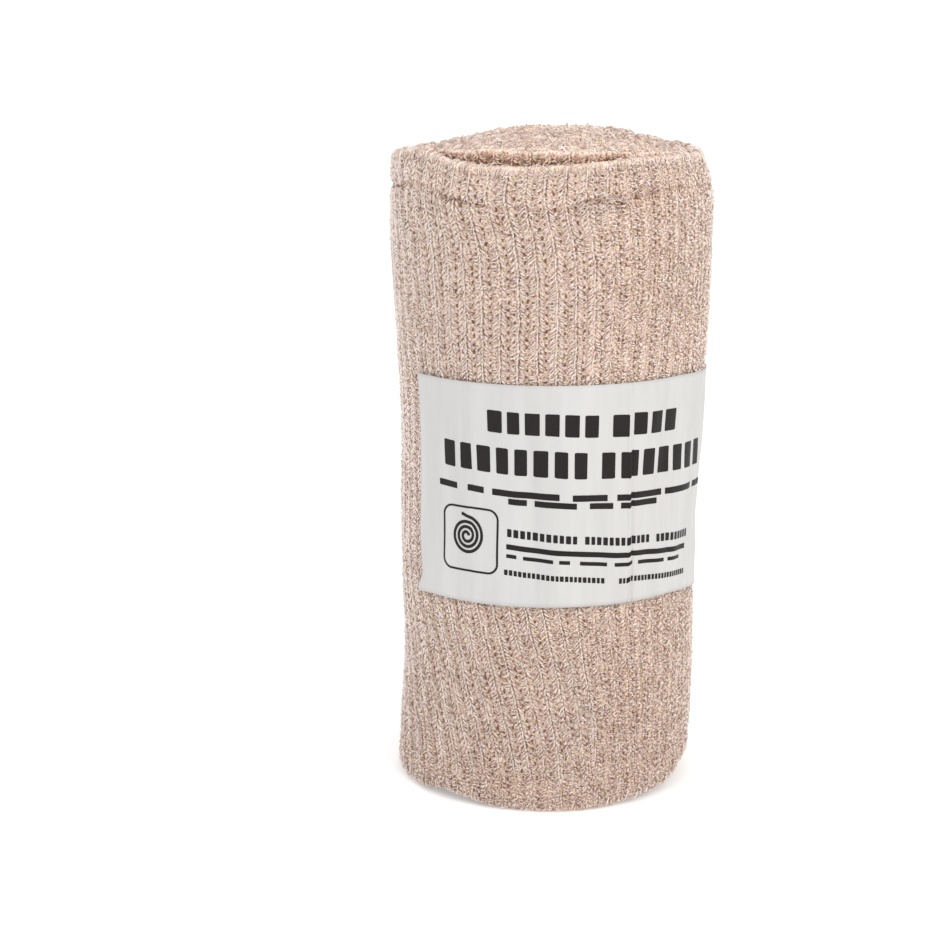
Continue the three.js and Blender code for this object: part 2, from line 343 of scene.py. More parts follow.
def sheetParts(front, back):  # two grids of points (column, row, xyz), joined round their border
    m, n = front.shape[:2]
    index = np.arange(m * n).reshape(m, n)
    quads = gridQuads(index)
    border = np.concatenate([index[:, 0], index[-1, 1:], index[-2::-1, -1], index[0, -2:0:-1]])
    after = np.roll(border, -1)
    edge = np.stack([border, border + m * n, after + m * n, after], -1)
    return np.concatenate([front.reshape(-1, 3), back.reshape(-1, 3)]), [quads, quads[:, ::-1] + m * n, edge]


# Materials
def newMaterial(name):
    material = bpy.data.materials.new(name)
    material.use_nodes = True
    return material, material.node_tree, material.node_tree.nodes["Principled BSDF"]


def addNode(tree, kind, sockets, **settings):  # each socket takes a value, or the output that feeds it
    node = tree.nodes.new("ShaderNode" + kind)
    for key, value in settings.items():
        setattr(node, key, value)
    for key, value in sockets.items():
        if isinstance(value, bpy.types.NodeSocket):
            tree.links.new(value, node.inputs[key])
        else:
            node.inputs[key].default_value = value
    return node


def mathStep(tree, operation, *values, clamp=False):
    return addNode(tree, "Math", dict(enumerate(values)), operation=operation, use_clamp=clamp).outputs[0]


def mixColours(tree, share, first, second, blend="MIX"):
    sockets = {"Factor": share, "A": first, "B": second}
    return addNode(tree, "Mix", sockets, data_type="RGBA", blend_type=blend).outputs["Result"]


def nodeGroup(name, inputs, outputs):
    group = bpy.data.node_groups.new(name, "ShaderNodeTree")
    for label, kind, value in inputs:
        socket = group.interface.new_socket(label, in_out="INPUT", socket_type=kind)
        socket.default_value = value
    for label, kind in outputs:
        group.interface.new_socket(label, in_out="OUTPUT", socket_type=kind)
    return group, group.nodes.new("NodeGroupInput"), group.nodes.new("NodeGroupOutput")


def makeFibreGrain():  # fine fibres and soft blotches over any of the cloths and the paper
    tree, source, result = nodeGroup(
        "fibreGrain",
        [
            ("Light", "NodeSocketColor", (0.8, 0.7, 0.6, 1)),
            ("Dark", "NodeSocketColor", (0.6, 0.45, 0.35, 1)),
            ("Mask", "NodeSocketFloat", 0.5),
            ("Fibre Scale", "NodeSocketFloat", 2500.0),
            ("Blotch Scale", "NodeSocketFloat", 90.0),
            ("Blotch", "NodeSocketFloat", 0.15),
            ("Upright", "NodeSocketFloat", 1.0),
            ("Tint Scale", "NodeSocketFloat", 900.0),
            ("Cool Tint", "NodeSocketColor", (1, 1, 1, 1)),
            ("Warm Tint", "NodeSocketColor", (1, 1, 1, 1)),
        ],
        [("Color", "NodeSocketColor"), ("Height", "NodeSocketFloat")],
    )
    given = source.outputs

    def noise(place, scale, detail):
        return addNode(tree, "TexNoise", {"Vector": place, "Scale": scale, "Detail": detail}).outputs["Fac"]

    place = addNode(tree, "TexCoord", {}).outputs["Object"]
    # squeezed upright, the grain is drawn out into upright streaks
    squeeze = addNode(tree, "CombineXYZ", {"X": 1, "Y": 1, "Z": given["Upright"]}).outputs[0]
    drawn = addNode(tree, "VectorMath", {0: place, 1: squeeze}, operation="MULTIPLY").outputs[0]
    fibre = noise(drawn, given["Fibre Scale"], 3)
    centred = mathStep(tree, "SUBTRACT", noise(drawn, given["Blotch Scale"], 2), 0.5)
    weighted = mathStep(tree, "MULTIPLY_ADD", centred, given["Blotch"], given["Mask"])
    fine = mathStep(tree, "MULTIPLY_ADD", fibre, 0.35, weighted)
    level = mathStep(tree, "SUBTRACT", fine, 0.175, clamp=True)
    plain = mixColours(tree, level, given["Dark"], given["Light"])
    patch = noise(place, given["Tint Scale"], 1)
    harder = addNode(tree, "MapRange", {"Value": patch, "From Min": 0.3, "From Max": 0.7}).outputs["Result"]
    tint = mixColours(tree, harder, given["Cool Tint"], given["Warm Tint"])
    tree.links.new(mixColours(tree, 1, plain, tint, "MULTIPLY"), result.inputs["Color"])
    tree.links.new(fibre, result.inputs["Height"])
    return tree


fibreGrain = makeFibreGrain()

# Light is the top of a yarn or fibre, dark the depth between them, painted shade on the knit; scales are per
# metre, bumpDepth in metres.
looks = {
    "yarn": {
        "light": (1.0, 0.935, 0.89),
        "dark": (0.46, 0.3, 0.23),
        "cool": (0.97, 0.92, 0.96),
        "warm": (1.0, 0.97, 0.9),
        "fibreScale": 2600.0,
        "blotchScale": 60.0,
        "blotch": 0.22,
        "bump": 0.35,
        "bumpDepth": 0.0002,
        "roughness": 0.95,
        "sheen": 0.12,
        "sheenRoughness": 0.6,
        "specular": 0.15,
    },
    "ground": {
        "light": (0.97, 0.84, 0.75),
        "dark": (0.18, 0.085, 0.046),
        "cool": (1.0, 0.88, 0.9),
        "warm": (1.0, 0.98, 0.85),
        "fibreScale": 1500.0,
        "blotchScale": 60.0,
        "blotch": 0.22,
        "bump": 0.5,
        "bumpDepth": 0.0003,
        "roughness": 1.0,
        "sheen": 0.05,
        "sheenRoughness": 0.6,
        "specular": 0.1,
    },
    "gauze": {
        "light": (0.84, 0.81, 0.75),
        "dark": (0.6, 0.56, 0.5),
        "fibreScale": 1400.0,
        "blotchScale": 80.0,
        "blotch": 0.3,
        "mask": 0.8,
        "bump": 0.5,
        "bumpDepth": 0.0003,
        "roughness": 1.0,
        "sheen": 0.1,
        "sheenRoughness": 0.6,
        "specular": 0.1,
    },
    # its upright blotches are partly the paper's own mottling, partly painted shade of its creases
    "paper": {
        "light": (0.59, 0.583, 0.576),
        "dark": (0.44, 0.43, 0.425),
        "fibreScale": 600.0,
        "blotchScale": 150.0,
        "blotch": 0.7,
        "upright": 0.12,
        "mask": 0.82,
        "bump": 0.12,
        "bumpDepth": 0.0001,
        "roughness": 0.5,
        "sheen": 0.0,
        "sheenRoughness": 0.6,
        "specular": 0.35,
    },
    "ink": {
        "light": (0.022, 0.018, 0.017),
        "dark": (0.009, 0.008, 0.008),
        "fibreScale": 2400.0,
        "blotchScale": 120.0,
        "blotch": 0.5,
        "mask": 0.6,
        "bump": 0.1,
        "bumpDepth": 0.0001,
        "roughness": 0.5,
        "sheen": 0.0,
        "sheenRoughness": 0.6,
        "specular": 0.15,
    },
}
# a warmer copy of the yarn for the next turn's band: painted shade of the groove behind the last turn's edge
looks["shadedInnerYarn"] = {
    **looks["yarn"],
    "light": (1.0, 0.9, 0.82),
    "dark": (0.6, 0.25, 0.1),
    "cool": (1.0, 0.93, 0.93),
    "warm": (1.0, 0.96, 0.85),
}


def clothMaterial(name, look, readMask=None):  # readMask gives the output of a mask that changes over it
    material, tree, shader = newMaterial(name)
    sockets = {
        "Light": (*look["light"], 1),
        "Dark": (*look["dark"], 1),
        "Mask": readMask(tree) if readMask else look["mask"],
        "Fibre Scale": look["fibreScale"],
        "Blotch Scale": look["blotchScale"],
        "Blotch": look["blotch"],
        "Upright": look.get("upright", 1),
        "Cool Tint": (*look.get("cool", (1, 1, 1)), 1),
        "Warm Tint": (*look.get("warm", (1, 1, 1)), 1),
    }
    grain = addNode(tree, "Group", sockets, node_tree=fibreGrain).outputs
    sockets = {"Strength": look["bump"], "Distance": look["bumpDepth"], "Height": grain["Height"]}
    tree.links.new(addNode(tree, "Bump", sockets).outputs["Normal"], shader.inputs["Normal"])
    tree.links.new(grain["Color"], shader.inputs["Base Color"])
    shader.inputs["Roughness"].default_value = look["roughness"]
    shader.inputs["Sheen Weight"].default_value = look["sheen"]
    shader.inputs["Sheen Roughness"].default_value = look["sheenRoughness"]
    shader.inputs["Specular IOR Level"].default_value = look["specular"]
    return material


def readFact(tree, name):
    return addNode(tree, "Attribute", {}, attribute_name=name).outputs["Fac"]


def readYarn(tree):
    return readFact(tree, "raised")


# Where painted shade lies dark on the ground between the yarns: in the groove right of each cord, and in
# the holes. Across is in repeats and up in courses; a sharper mark is smaller.
marks = {
    "groove": {"across": 0.03, "sharpAcross": 24.0, "up": 0.4, "sharpUp": 3.4, "dots": 0.8},
    "mainHole": {"sharpAcross": 17.0, "up": 0.76, "sharpUp": 4.2, "share": 1.0},
    "weakHole": {"sharpAcross": 17.0, "up": 0.3, "sharpUp": 4.0, "share": 0.55},
    "unevenScale": 1.1,
    "unevenUp": 1.3,
    "unevenAcross": 0.2,
    "someMissing": 3.5,
    "speckleStretch": (10, 3.6, 1),
    "speckle": 2.0,
}


def readGround(tree):  # the dark groove right of each cord, the holes, and a fine speckle along the courses
    def step(operation, *values, clamp=False):
        return mathStep(tree, operation, *values, clamp=clamp)

    def near(value, centre, sharpness):  # 1 where a wrapped value is at the centre, falling to 0
        wrappedValue = step("FRACT", step("ADD", value, 0.5 - centre + 8))
        away = step("MULTIPLY", step("ABSOLUTE", step("SUBTRACT", wrappedValue, 0.5)), sharpness)
        return step("SUBTRACT", 1.35, away, clamp=True)

    def shifted(value, by, amount):  # moved by a noise of 0 to 1, times the amount
        return step("ADD", value, step("MULTIPLY", step("SUBTRACT", by, 0.5), amount))

    place = addNode(tree, "UVMap", {}, uv_map="weave").outputs["UV"]
    parts = addNode(tree, "SeparateXYZ", {0: place}).outputs
    across, up = parts["X"], parts["Y"]
    phase = step("MULTIPLY", step("FLOOR", across), 2.1)
    phase = step("MULTIPLY", step("SINE", phase), knit["stagger"] / knit["course"])
    uneven = addNode(tree, "TexNoise", {"Vector": place, "Scale": marks["unevenScale"], "Detail": 1})
    offsets = addNode(tree, "SeparateXYZ", {0: uneven.outputs["Color"]}).outputs
    row = shifted(step("SUBTRACT", up, phase), offsets["Y"], marks["unevenUp"])
    aside = shifted(across, offsets["X"], marks["unevenAcross"])
    some = step("MULTIPLY", step("SUBTRACT", offsets["Z"], 0.5), marks["someMissing"])
    some = step("ADD", some, 0.9, clamp=True)
    mark = marks["groove"]
    dots = step("MULTIPLY", near(row, mark["up"], mark["sharpUp"]), mark["dots"])
    dots = step("ADD", dots, 1 - mark["dots"])
    groove = step("MULTIPLY", near(aside, mark["across"], mark["sharpAcross"]), dots)
    holes = []
    for at, mark in zip(knit["holes"], (marks["mainHole"], marks["weakHole"])):
        hole = step("MULTIPLY", near(aside, at, mark["sharpAcross"]), near(row, mark["up"], mark["sharpUp"]))
        holes.append(step("MULTIPLY", hole, mark["share"]))
    hole = step("MULTIPLY", step("MAXIMUM", *holes), some)
    stretched = addNode(tree, "VectorMath", {0: place, 1: marks["speckleStretch"]}, operation="MULTIPLY")
    speckle = addNode(tree, "TexNoise", {"Vector": stretched.outputs[0], "Scale": 1, "Detail": 1})
    level = shifted(readFact(tree, "raised"), speckle.outputs["Fac"], marks["speckle"])
    dark = step("MULTIPLY", groove, readFact(tree, "groove"))
    dark = step("ADD", dark, step("MULTIPLY", hole, readFact(tree, "holes")))
    return step("SUBTRACT", level, dark, clamp=True)


yarnMaterial = clothMaterial("knitYarn", looks["yarn"], readYarn)
shadedInnerMaterial = clothMaterial("shadedInnerYarn", looks["shadedInnerYarn"], readYarn)
groundMaterial = clothMaterial("knitGround", looks["ground"], readGround)
gauzeMaterial = clothMaterial("padGauze", looks["gauze"])
paperMaterial = clothMaterial("labelPaper", looks["paper"])
inkMaterial = clothMaterial("labelInk", looks["ink"])
print("stage: materials made")

repeatWidth = 2 * math.pi * knit["arcRadius"] / knit["repeats"]
leanStep = 0.5
leanZ = np.arange(321) * leanStep
leanSum = np.cumsum(smoothRead(knit["leanHeight"], knit["leanSlope"], leanZ)) * leanStep
leanSum = leanSum[int(roll["halfWay"] / leanStep)] - leanSum  # mm that an upright line has moved right
firstRepeat = arcAt(roll["freeEnd"]) / repeatWidth
arcStart = firstRepeat * repeatWidth
arcEnd = arcStart + knit["repeats"] * repeatWidth


def lean(arc, z):
    share = smoothRead(knit["leanAngle"], knit["leanShare"], angleOf(arc))
    return share * np.interp(z, leanZ, leanSum)


def wobble(plain, z):
    return 0.14 * ripple(11, plain, z, 12) + 0.1 * ripple(12, plain, z, 3)


def arcOf(across, z):  # mm along the last turn
    plain = (firstRepeat + across) * repeatWidth
    arc = plain
    for _ in range(3):
        arc = plain + lean(arc, z)
    return arc + wobble(plain, z)


def acrossOf(arc, z):
    plain = arc - lean(arc, z)
    return (plain - wobble(plain, z)) / repeatWidth - firstRepeat


# The label's place and form, in mm and degrees; no yarn lies under it
labelSheet = {
    "start": -55.6,
    "width": 101.6,
    "height": 52.4,
    "foot": 50.3,
    "radius": 36.6,
    "under": 0.38,
    "thickness": 0.16,
    "stepAcross": 0.45,
    "stepUp": 1.3,
    "sagZone": (66, 95),  # mm along it, over which its right end sags
    "sag": (2.4, 1.3),  # at the foot and at the top
    "bowAt": 0.085,  # the share of its height at which its left end bows to the right
    "bow": 0.75,
    "stuckDown": 0.24,  # mm that its ends sink at the back
    "pinchAt": 55.1,
    "pinchLean": 1.2,
    "pinchZone": (-1.2, 3.4),  # mm from the pinch, where the sheet's columns are closer together
    "pinchStep": 0.13,
    "pinch": {"off": 0.42, "width": 0.42},
    "pinchHollow": {"off": 0.3, "width": 0.34, "after": 0.8},
    "curl": {"off": 0.95, "width": 3.2},  # of its lower left corner, off the roll
    "curlHollow": {"off": 0.17, "at": 4.6, "width": 0.9},
    "waves": (0.42, 0.09),  # mm, of about 7 and 2.4 mm across
    # at is mm along it, lean mm over its height, and fade the shares of its height with none and all of it
    "creases": [
        {"off": -0.14, "at": 16.5, "lean": 0, "sway": 0.6, "width": 0.5, "fade": (0.9, 0.7)},
        {"off": -0.12, "at": 15.0, "lean": 0, "sway": 0, "width": 0.4, "fade": (0.3, 0.6)},
        {"off": 0.22, "at": 83.5, "lean": -2, "sway": 0, "width": 0.9, "fade": None},
        {"off": -0.2, "at": 79.5, "lean": -1.5, "sway": 0, "width": 0.8, "fade": None},
        {"off": -0.16, "at": 69.0, "lean": -2.5, "sway": 0, "width": 0.6, "fade": (0.55, 0.35)},
    ],
}


def underLabel(arc, z, margin=1.3):
    s = (angleOf(arc) - labelSheet["start"]) * math.pi / 180 * labelSheet["radius"]
    up = z - labelSheet["foot"] + 0.6
    beside = (s > margin) & (s < labelSheet["width"] - margin)
    return beside & (up > margin) & (up < labelSheet["height"] - margin)


def hemDisorder(angle, z):  # 1 in the middle of the hem's disorder, just about the stitch line
    low, high = knit["hemZone"]
    away = (angle - (low + high) / 2) / (0.5 * (high - low))
    return np.exp(-(away**4) - ((z - seamZ(angle) - 0.3) / 1.9) ** 2)


def bakeUvOf(arc, z):
    return np.stack([(arc - arcStart + 6) / (arcEnd - arcStart + 12), (z + 2) / 162], -1)


# The cloth itself: one closed winding, dense on the last turn.
ground = {
    "face": -0.42,
    "back": -1.85,
    "edge": 0.4,
    "crest": 0.26,
    "ringsLast": 240,
    "ringsTurn": 72,
    "rowStep": 1.6,
    "innerRows": [0, 0.004, 0.01, 0.02, 0.04, 0.08, 0.5, 0.92, 0.96, 0.98, 0.99, 0.996, 1],
    "denseTurns": 1.05,
    # the ground stands for the depth between the yarns; how far its level lies below the light colour is
    # painted shade
    "tone": 0.51,  # 0 is the dark colour and 1 the light one
    "blotches": 0.1,
    "hemLight": 0.04,
    # painted shade on the ground: less at the crest, where the fold stands as high as its yarns, more in the
    # hem's deeper disorder,
    "crestLight": 0.2,
    # down the hole columns on the right, in the crease of the seam on the left and between the inner turns
    "messShade": 0.26,  # where the hem is in disorder
    "rungShade": 0.1,  # between the ribs, on the right
    "seamShade": 0.25,
    "innerToneAndShade": 0.42,
    "innerShade": 0.1,  # between the inner turns, away from their edges
    "innerCrest": 0.4,
}


def groundSection(foot, top, rows, backRows):  # the strip's cross-section: z, and mm off its face
    up, down = (foot + 0.6 + (top - foot - 1.2) * shares for shares in (rows, backRows))
    face, back, edge, crest = (ground[key] for key in ("face", "back", "edge", "crest"))
    mid = (face + back) / 2
    fold = crest * smoothstep(up - top, -2.2, -0.6)  # the plain fold stands nearly as high as its yarns
    upper, lower = top - np.array([0.32, 0.12, 0.32]), foot + np.array([edge, 0.25, edge])
    z = np.concatenate([up, upper, down[::-1], lower])
    over, under = [face + crest - 0.16, mid, back], [back + 0.12, mid, face - 0.12]
    return z, np.concatenate([face + fold, over, np.full(len(down), back), under])


def lastTurnToneAndShade(arc, z, across, atCrest):
    angle = angleOf(arc)
    right = smoothstep(angle, 5, 40)
    seam = seamZ(angle)
    inHem = smoothstep(z - seam, -0.5, 0.5)
    messy = hemDisorder(angle, z) * smoothstep(ripple(24, arc, z, 2.4), -0.4, 0.5)
    rungs = right * (0.5 + 0.5 * np.cos(2 * np.pi * (across - 0.42)))
    # painted shade: darker in the hem's disorder, down the hole columns on the right, in the seam's crease on
    # the left and towards the foot;
    tone = ground["tone"] + ground["blotches"] * ripple(21, arc, z, 2.2) + ground["hemLight"] * inHem
    # lighter at the crest, where the fold stands as high as its yarns
    tone = tone + ground["crestLight"] * atCrest - ground["messShade"] * messy - ground["rungShade"] * rungs
    tone = tone - ground["seamShade"] * hill(z - seam, 0.6) * (1 - right)
    return tone - knit["footShade"] * 0.5 * nearFoot(z)


def innerToneAndShade(arc, z, foot, top, atCrest):
    # painted shade: darker between the turns away from their edges and towards the foot, lighter at the crest
    deep = np.minimum(top - z, z - foot)
    tone = ground["innerToneAndShade"] - ground["innerShade"] * smoothstep(deep, 0.5, 6)
    tone = tone + ground["blotches"] * ripple(22, arc, z, 2.2) + ground["innerCrest"] * atCrest
    return tone - knit["footShade"] * 0.5 * nearFoot(z)


def groundPart(turns, rows, backRows, dense):
    foot, top = stripEdges(turns)
    sections = [groundSection(f, t, rows, backRows) for f, t in zip(foot, top)]
    z, h = (np.array(values) for values in zip(*sections))
    foot, top = foot[:, None], top[:, None]
    t = np.repeat(turns[:, None], z.shape[1], 1)
    arc = arcAt(angleAt(t))
    face = np.arange(z.shape[1])[None, :] < len(rows)
    across = acrossOf(arc, z)
    if dense:
        h = h - face * (0.1 * np.cos(2 * np.pi * (across - 0.5)))
    points = stripPoint(t, z, h)
    rings, around = z.shape
    index = np.arange(rings * around).reshape(rings, around)
    a, b = index[:-1], index[1:]
    walls = np.stack([a, b, np.roll(b, -1, 1), np.roll(a, -1, 1)], -1).reshape(-1, 4)
    faces = [walls, capEnds(index[0], len(rows), True), capEnds(index[-1], len(rows), False)]
    right = smoothstep(angleOf(arc), 5, 40)
    atCrest = smoothstep(z - top, -2.6, -1.0)
    tone = lastTurnToneAndShade(arc, z, across, atCrest) if dense else innerToneAndShade(arc, z, foot, top, atCrest)
    plain = face * (1 - atCrest)
    strong = smoothstep(np.sin(np.floor(across) * 2.4 + 1) + 0.6 * ripple(23, arc, z, 12), -0.7, 0.5)
    # strength of the painted shade in the groove and in the holes, weaker on the right and near the foot
    groove = plain * (0.54 - 0.44 * right) * (0.6 + 0.4 * strong) * smoothstep(z, 6, 14)
    holes = plain * (0.8 - 0.1 * right) * (0.6 + 0.4 * smoothstep(z, 4, 14))
    facts = {"raised": tone.ravel(), "groove": groove.ravel(), "holes": holes.ravel()}
    facts["weave"] = np.stack([across, z / knit["course"]], -1).reshape(-1, 2)
    return points.reshape(-1, 3), faces, facts


def capEnds(ring, outerCount, isStart):  # a ladder of triangles between the two faces of a cut end
    n = len(ring)
    outer = list(range(outerCount + 2))
    inner = [n - 2] + list(range(n - 3, outerCount + 1, -1))
    outer = [n - 1] + outer
    faces, i, j = [], 0, 0
    while i + 1 < len(outer) or j + 1 < len(inner):
        outerFirst = i + 1 < len(outer) and (i + 1) * len(inner) <= (j + 1) * len(outer)
        if j + 1 == len(inner) or outerFirst:
            faces.append((ring[outer[i]], ring[outer[i + 1]], ring[inner[j]]))
            i += 1
        else:
            faces.append((ring[outer[i]], ring[inner[j + 1]], ring[inner[j]]))
            j += 1
    faces = np.array(faces)
    return faces if isStart else faces[:, ::-1]


def makeGround():
    rows = np.linspace(0, 1, int(roll["stripWidth"] / ground["rowStep"]))
    ends = np.array(ground["innerRows"])
    split = ground["denseTurns"]
    last = groundPart(np.linspace(0, split, ground["ringsLast"]), rows, ends, True)
    count = int((windings - split) * ground["ringsTurn"])
    inner = groundPart(np.linspace(split, windings, count), ends, ends, False)
    points, faces, facts = joinParts([last, inner])
    uvs = {"weave": facts.pop("weave")}
    return buildMesh("elasticCloth", points, faces, groundMaterial, "elastic_knit", facts, uvs)


cloth = makeGround()
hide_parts("elastic_wrap")
print("stage: cloth wound,", len(cloth.data.polygons), "faces")


# The yarns over the cloth. Each kind has its own values. What has one value a ring runs from end to end of
# a yarn: along in shares of its length, height in mm off the strip's face, light and thick in shares. Light
# is painted shade, darker where a yarn's ends sink into the cloth.


def profile(kind, *keys):
    return [np.array(kind[key], float)[None] for key in keys]


def yarnRadius(r, kind, count):
    return kind["radius"] * profile(kind, "thick")[0] * r.uniform(*kind["uneven"], (count, 1))


def yarnTone(r, kind, count):
    middle, varies, low, high = kind["tone"]
    return np.clip(r.normal(middle, varies, (count, 1)), low, high) * profile(kind, "light")[0]


def laidYarns(band, keep, arc, z, height, radius, tone):  # arrays (yarn, ring); only those in keep are laid
    arc, z, height, radius, tone = (v[keep] for v in (arc, z, height, radius, tone))
    t = turnsOf(angleOf(arc))
    path = stripPoint(t + band["shift"], z, height + band["lift"])
    # painted shade: the band's tone darkens the inner band, and the yarns darken towards the foot
    tone = tone + band["tone"] - knit["footShade"] * nearFoot(z) + 0.07 * ripple(25, arc, z, 4)
    return yarns(path, radius * band["thick"], outwardAt(t, t.shape), raised=tone, arc=arc)


def knitPiece(name, parts, material=yarnMaterial):
    points, faces, facts = joinParts(parts)
    uvs = {"OFBake": bakeUvOf(facts.pop("arc"), points[:, 2])} if "arc" in facts else {}
    return buildMesh(name, points, faces, material, "elastic_knit", facts, uvs)


def faceCount(pieces):
    return sum(len(piece.data.polygons) for piece in pieces)


def keepOn(r, arc, z, band, nearCrest=0.5):  # those on the strip, clear of the label and the hem's stitches
    t = turnsOf(angleOf(arc))
    foot, top = stripEdges(t.mean(1) + band["shift"])
    across, middle = arc.mean(1), z.mean(1)
    keep = (z.min(1) > foot + 0.35) & (z.max(1) < top - nearCrest) & (t.min(1) > 0.001) & (t.max(1) < 1.02)
    if band["shift"]:
        return keep & (middle > band["rows"][0] + 1)
    angle = angleOf(across)
    chance = 1 - 0.75 * hill(middle - seamZ(angle), 0.45) - 0.45 * hemDisorder(angle, middle)
    return keep & ~underLabel(across, middle) & (r.random(len(middle)) < chance)


def cellGrid(perCourse, band):  # each yarn's repeat, its number in the course, and its z
    low, high = (int(v / knit["course"]) for v in band["rows"])
    cells = (np.arange(knit["repeats"]), np.arange(low - 1, high + 1), np.arange(perCourse))
    k, j, m = (grid.ravel() for grid in np.meshgrid(*cells, indexing="ij"))
    z = (j + m / perCourse) * knit["course"] + knit["stagger"] * np.sin(2.1 * k)
    return k, m, z


def rightShare(at, start=8, end=42):
    return smoothstep(angleOf(at), start, end)


cord = {
    "at": -0.06,  # in repeats
    "perCourse": 2,
    "length": (0.5, 0.85),  # in courses
    "slant": (0.34, 0.16),  # mm to the right over its length, and how much that varies
    "along": (-0.5, -0.2, 0.2, 0.5),
    "height": (-0.32, 0, -0.02, -0.34),
    "radius": 0.235,
    "thick": (1, 1, 1, 1),
    "uneven": (0.8, 1.15),
    "tone": (0.98, 0.08, 0.6, 1.15),  # its middle, how much it varies, and its limits
    "light": (0.8, 1, 1, 0.85),
}


def makeCords(band, seed):  # short slanting yarns that overlap into an upright cord
    r = np.random.default_rng(seed)
    k, _, z = cellGrid(cord["perCourse"], band)
    count = len(k)
    along, height = profile(cord, "along", "height")
    length = knit["course"] * r.uniform(*cord["length"], (count, 1))
    zs = z[:, None] + length * along + r.normal(0, 0.07, (count, 1))
    arc = arcOf(k[:, None] + cord["at"] + 0 * along, zs) + along * r.normal(*cord["slant"], (count, 1))
    arc = arc + r.normal(0, 0.05, (count, 1))
    strong = 0.5 + 0.5 * np.sin(k * 2.4 + 1)
    height = height + r.normal(0, 0.05, (count, 1)) - 0.13 * (1 - strong[:, None])
    radius = yarnRadius(r, cord, count)
    tone = yarnTone(r, cord, count)
    chance = (1 - 0.9 * rightShare(arc.mean(1), 5, 38)) * (0.35 + 0.65 * smoothstep(z, 5, 13))
    keep = keepOn(r, arc, zs, band) & (r.random(count) < chance * (0.8 + 0.2 * strong))
    return laidYarns(band, keep, arc, zs, height, radius, tone)


arm = {
    "perCourse": 3,
    "left": (0.02, 0.35),  # from and to, in repeats
    "right": (0.5, 0.93),
    "along": (-0.06, 0.28, 0.72, 1.06),
    "bend": (-1, 1, 1, -1),
    "height": (-0.24, 0.03, 0.03, -0.24),
    "radius": 0.145,
    "thick": (1, 1, 1, 1),
    "uneven": (0.8, 1.25),
    "tone": (0.98, 0.12, 0.4, 1.2),
    "light": (0.75, 1, 1, 0.75),
}


def climb(x, arc, z):  # mm that a yarn climbs from the holes towards the cords: one wide V, or two small ones
    two = smoothstep(ripple(31, arc, z, 11), 0.2, 0.7)
    first, second = knit["holes"]
    wide = np.where(x < first, 3.4 * (first - x), 3.9 * (x - first) - 0.12)
    small = np.where(x < 0.55, 3.2 * np.abs(x - 0.3), 0.5 + 4.2 * np.abs(x - second))
    flat = (1 - 0.65 * rightShare(arc)) * (0.5 + 0.5 * smoothstep(z, 4, 14))
    return (wide * (1 - two) + small * two) * flat


def makeArm(side, band, seed):
    r = np.random.default_rng(seed)
    k, _, z = cellGrid(arm["perCourse"], band)
    count = len(k)
    along, bend, height = profile(arm, "along", "bend", "height")
    at = arcOf(k + 0.5, z)
    right = rightShare(at)[:, None]
    share = r.uniform(0.5, 1.0, (count, 1)) * (1 - 0.3 * right)
    start, end = arm[side]
    x = start + (end - start) * (r.random((count, 1)) * (1 - share) + share * along)
    loose = 0.6 + 0.8 * smoothstep(ripple(32, at, z, 7), -0.6, 0.8)[:, None] + 0.9 * right
    rise = climb(x, at[:, None], z[:, None]) * (1 + loose * r.uniform(-0.35, 0.25, (count, 1)))
    rise = rise + r.normal(0, 0.14, (count, 1)) * bend
    zs = z[:, None] + rise + loose * (r.normal(0, 0.1, (count, 1)) + r.normal(0, 0.07, x.shape))
    arc = arcOf(k[:, None] + x, zs) + loose * r.normal(0, 0.07, (count, 1))
    valley = 0.09 * np.cos(2 * np.pi * (x - cord["at"]))
    height = height + valley + loose * r.normal(0, 0.07, (count, 1))
    radius = yarnRadius(r, arm, count) * (1 + 0.15 * right)
    tone = yarnTone(r, arm, count)
    keep = keepOn(r, arc, zs, band, 1.0) & (r.random(count) > 0.05)
    return laidYarns(band, keep, arc, zs, height, radius, tone)


bridge = {
    "perCourse": 2,
    "along": (-0.5, -0.22, 0.22, 0.5),
    "length": (0.7, 1.1),  # mm
    "height": (-0.3, -0.06, -0.06, -0.3),
    "radius": 0.18,
    "thick": (1, 1, 1, 1),
    "uneven": (0.75, 1.25),
    "tone": (0.82, 0.12, 0.4, 1.1),
    "light": (0.85, 1, 1, 0.85),
}


def makeBridges(band, seed):  # what crosses between the arms, over each hole
    r = np.random.default_rng(seed)
    k, m, z = cellGrid(bridge["perCourse"], band)
    count = len(k)
    along, height = profile(bridge, "along", "height")
    z = z + np.where(m == 0, 0.16, -0.12) * knit["course"] + r.normal(0, 0.06, count)
    at = arcOf(k + knit["holes"][0], z)
    zs = z[:, None] - 0.22 * (1 - 4 * along**2) + along * r.normal(0, 0.35, (count, 1))
    arc = at[:, None] + r.uniform(*bridge["length"], (count, 1)) * along + r.normal(0, 0.05, (count, 1))
    height = height + r.normal(0, 0.06, (count, 1))
    radius = yarnRadius(r, bridge, count)
    tone = yarnTone(r, bridge, count)
    return laidYarns(band, keepOn(r, arc, zs, band), arc, zs, height, radius, tone)


looseBit = {
    "perCourse": 3,
    "along": (-0.5, -0.2, 0.2, 0.5),
    "length": (0.5, 1.25),  # mm
    "height": (-0.2, 0.1, 0.1, -0.2),
    "deep": 0.0,  # mm below that
    "radius": 0.132,
    "thick": (1, 1, 1, 1),
    "uneven": (0.8, 1.3),
    "tone": (0.94, 0.14, 0.4, 1.12),
    "light": (0.85, 1, 1, 0.85),
}
# dark bits of yarn, painted shade where the next turn lies in the shade of the last one's edge
darkBit = {**looseBit, "perCourse": 7, "deep": 0.3, "tone": (0.2, 0.14, 0.4, 1.12)}


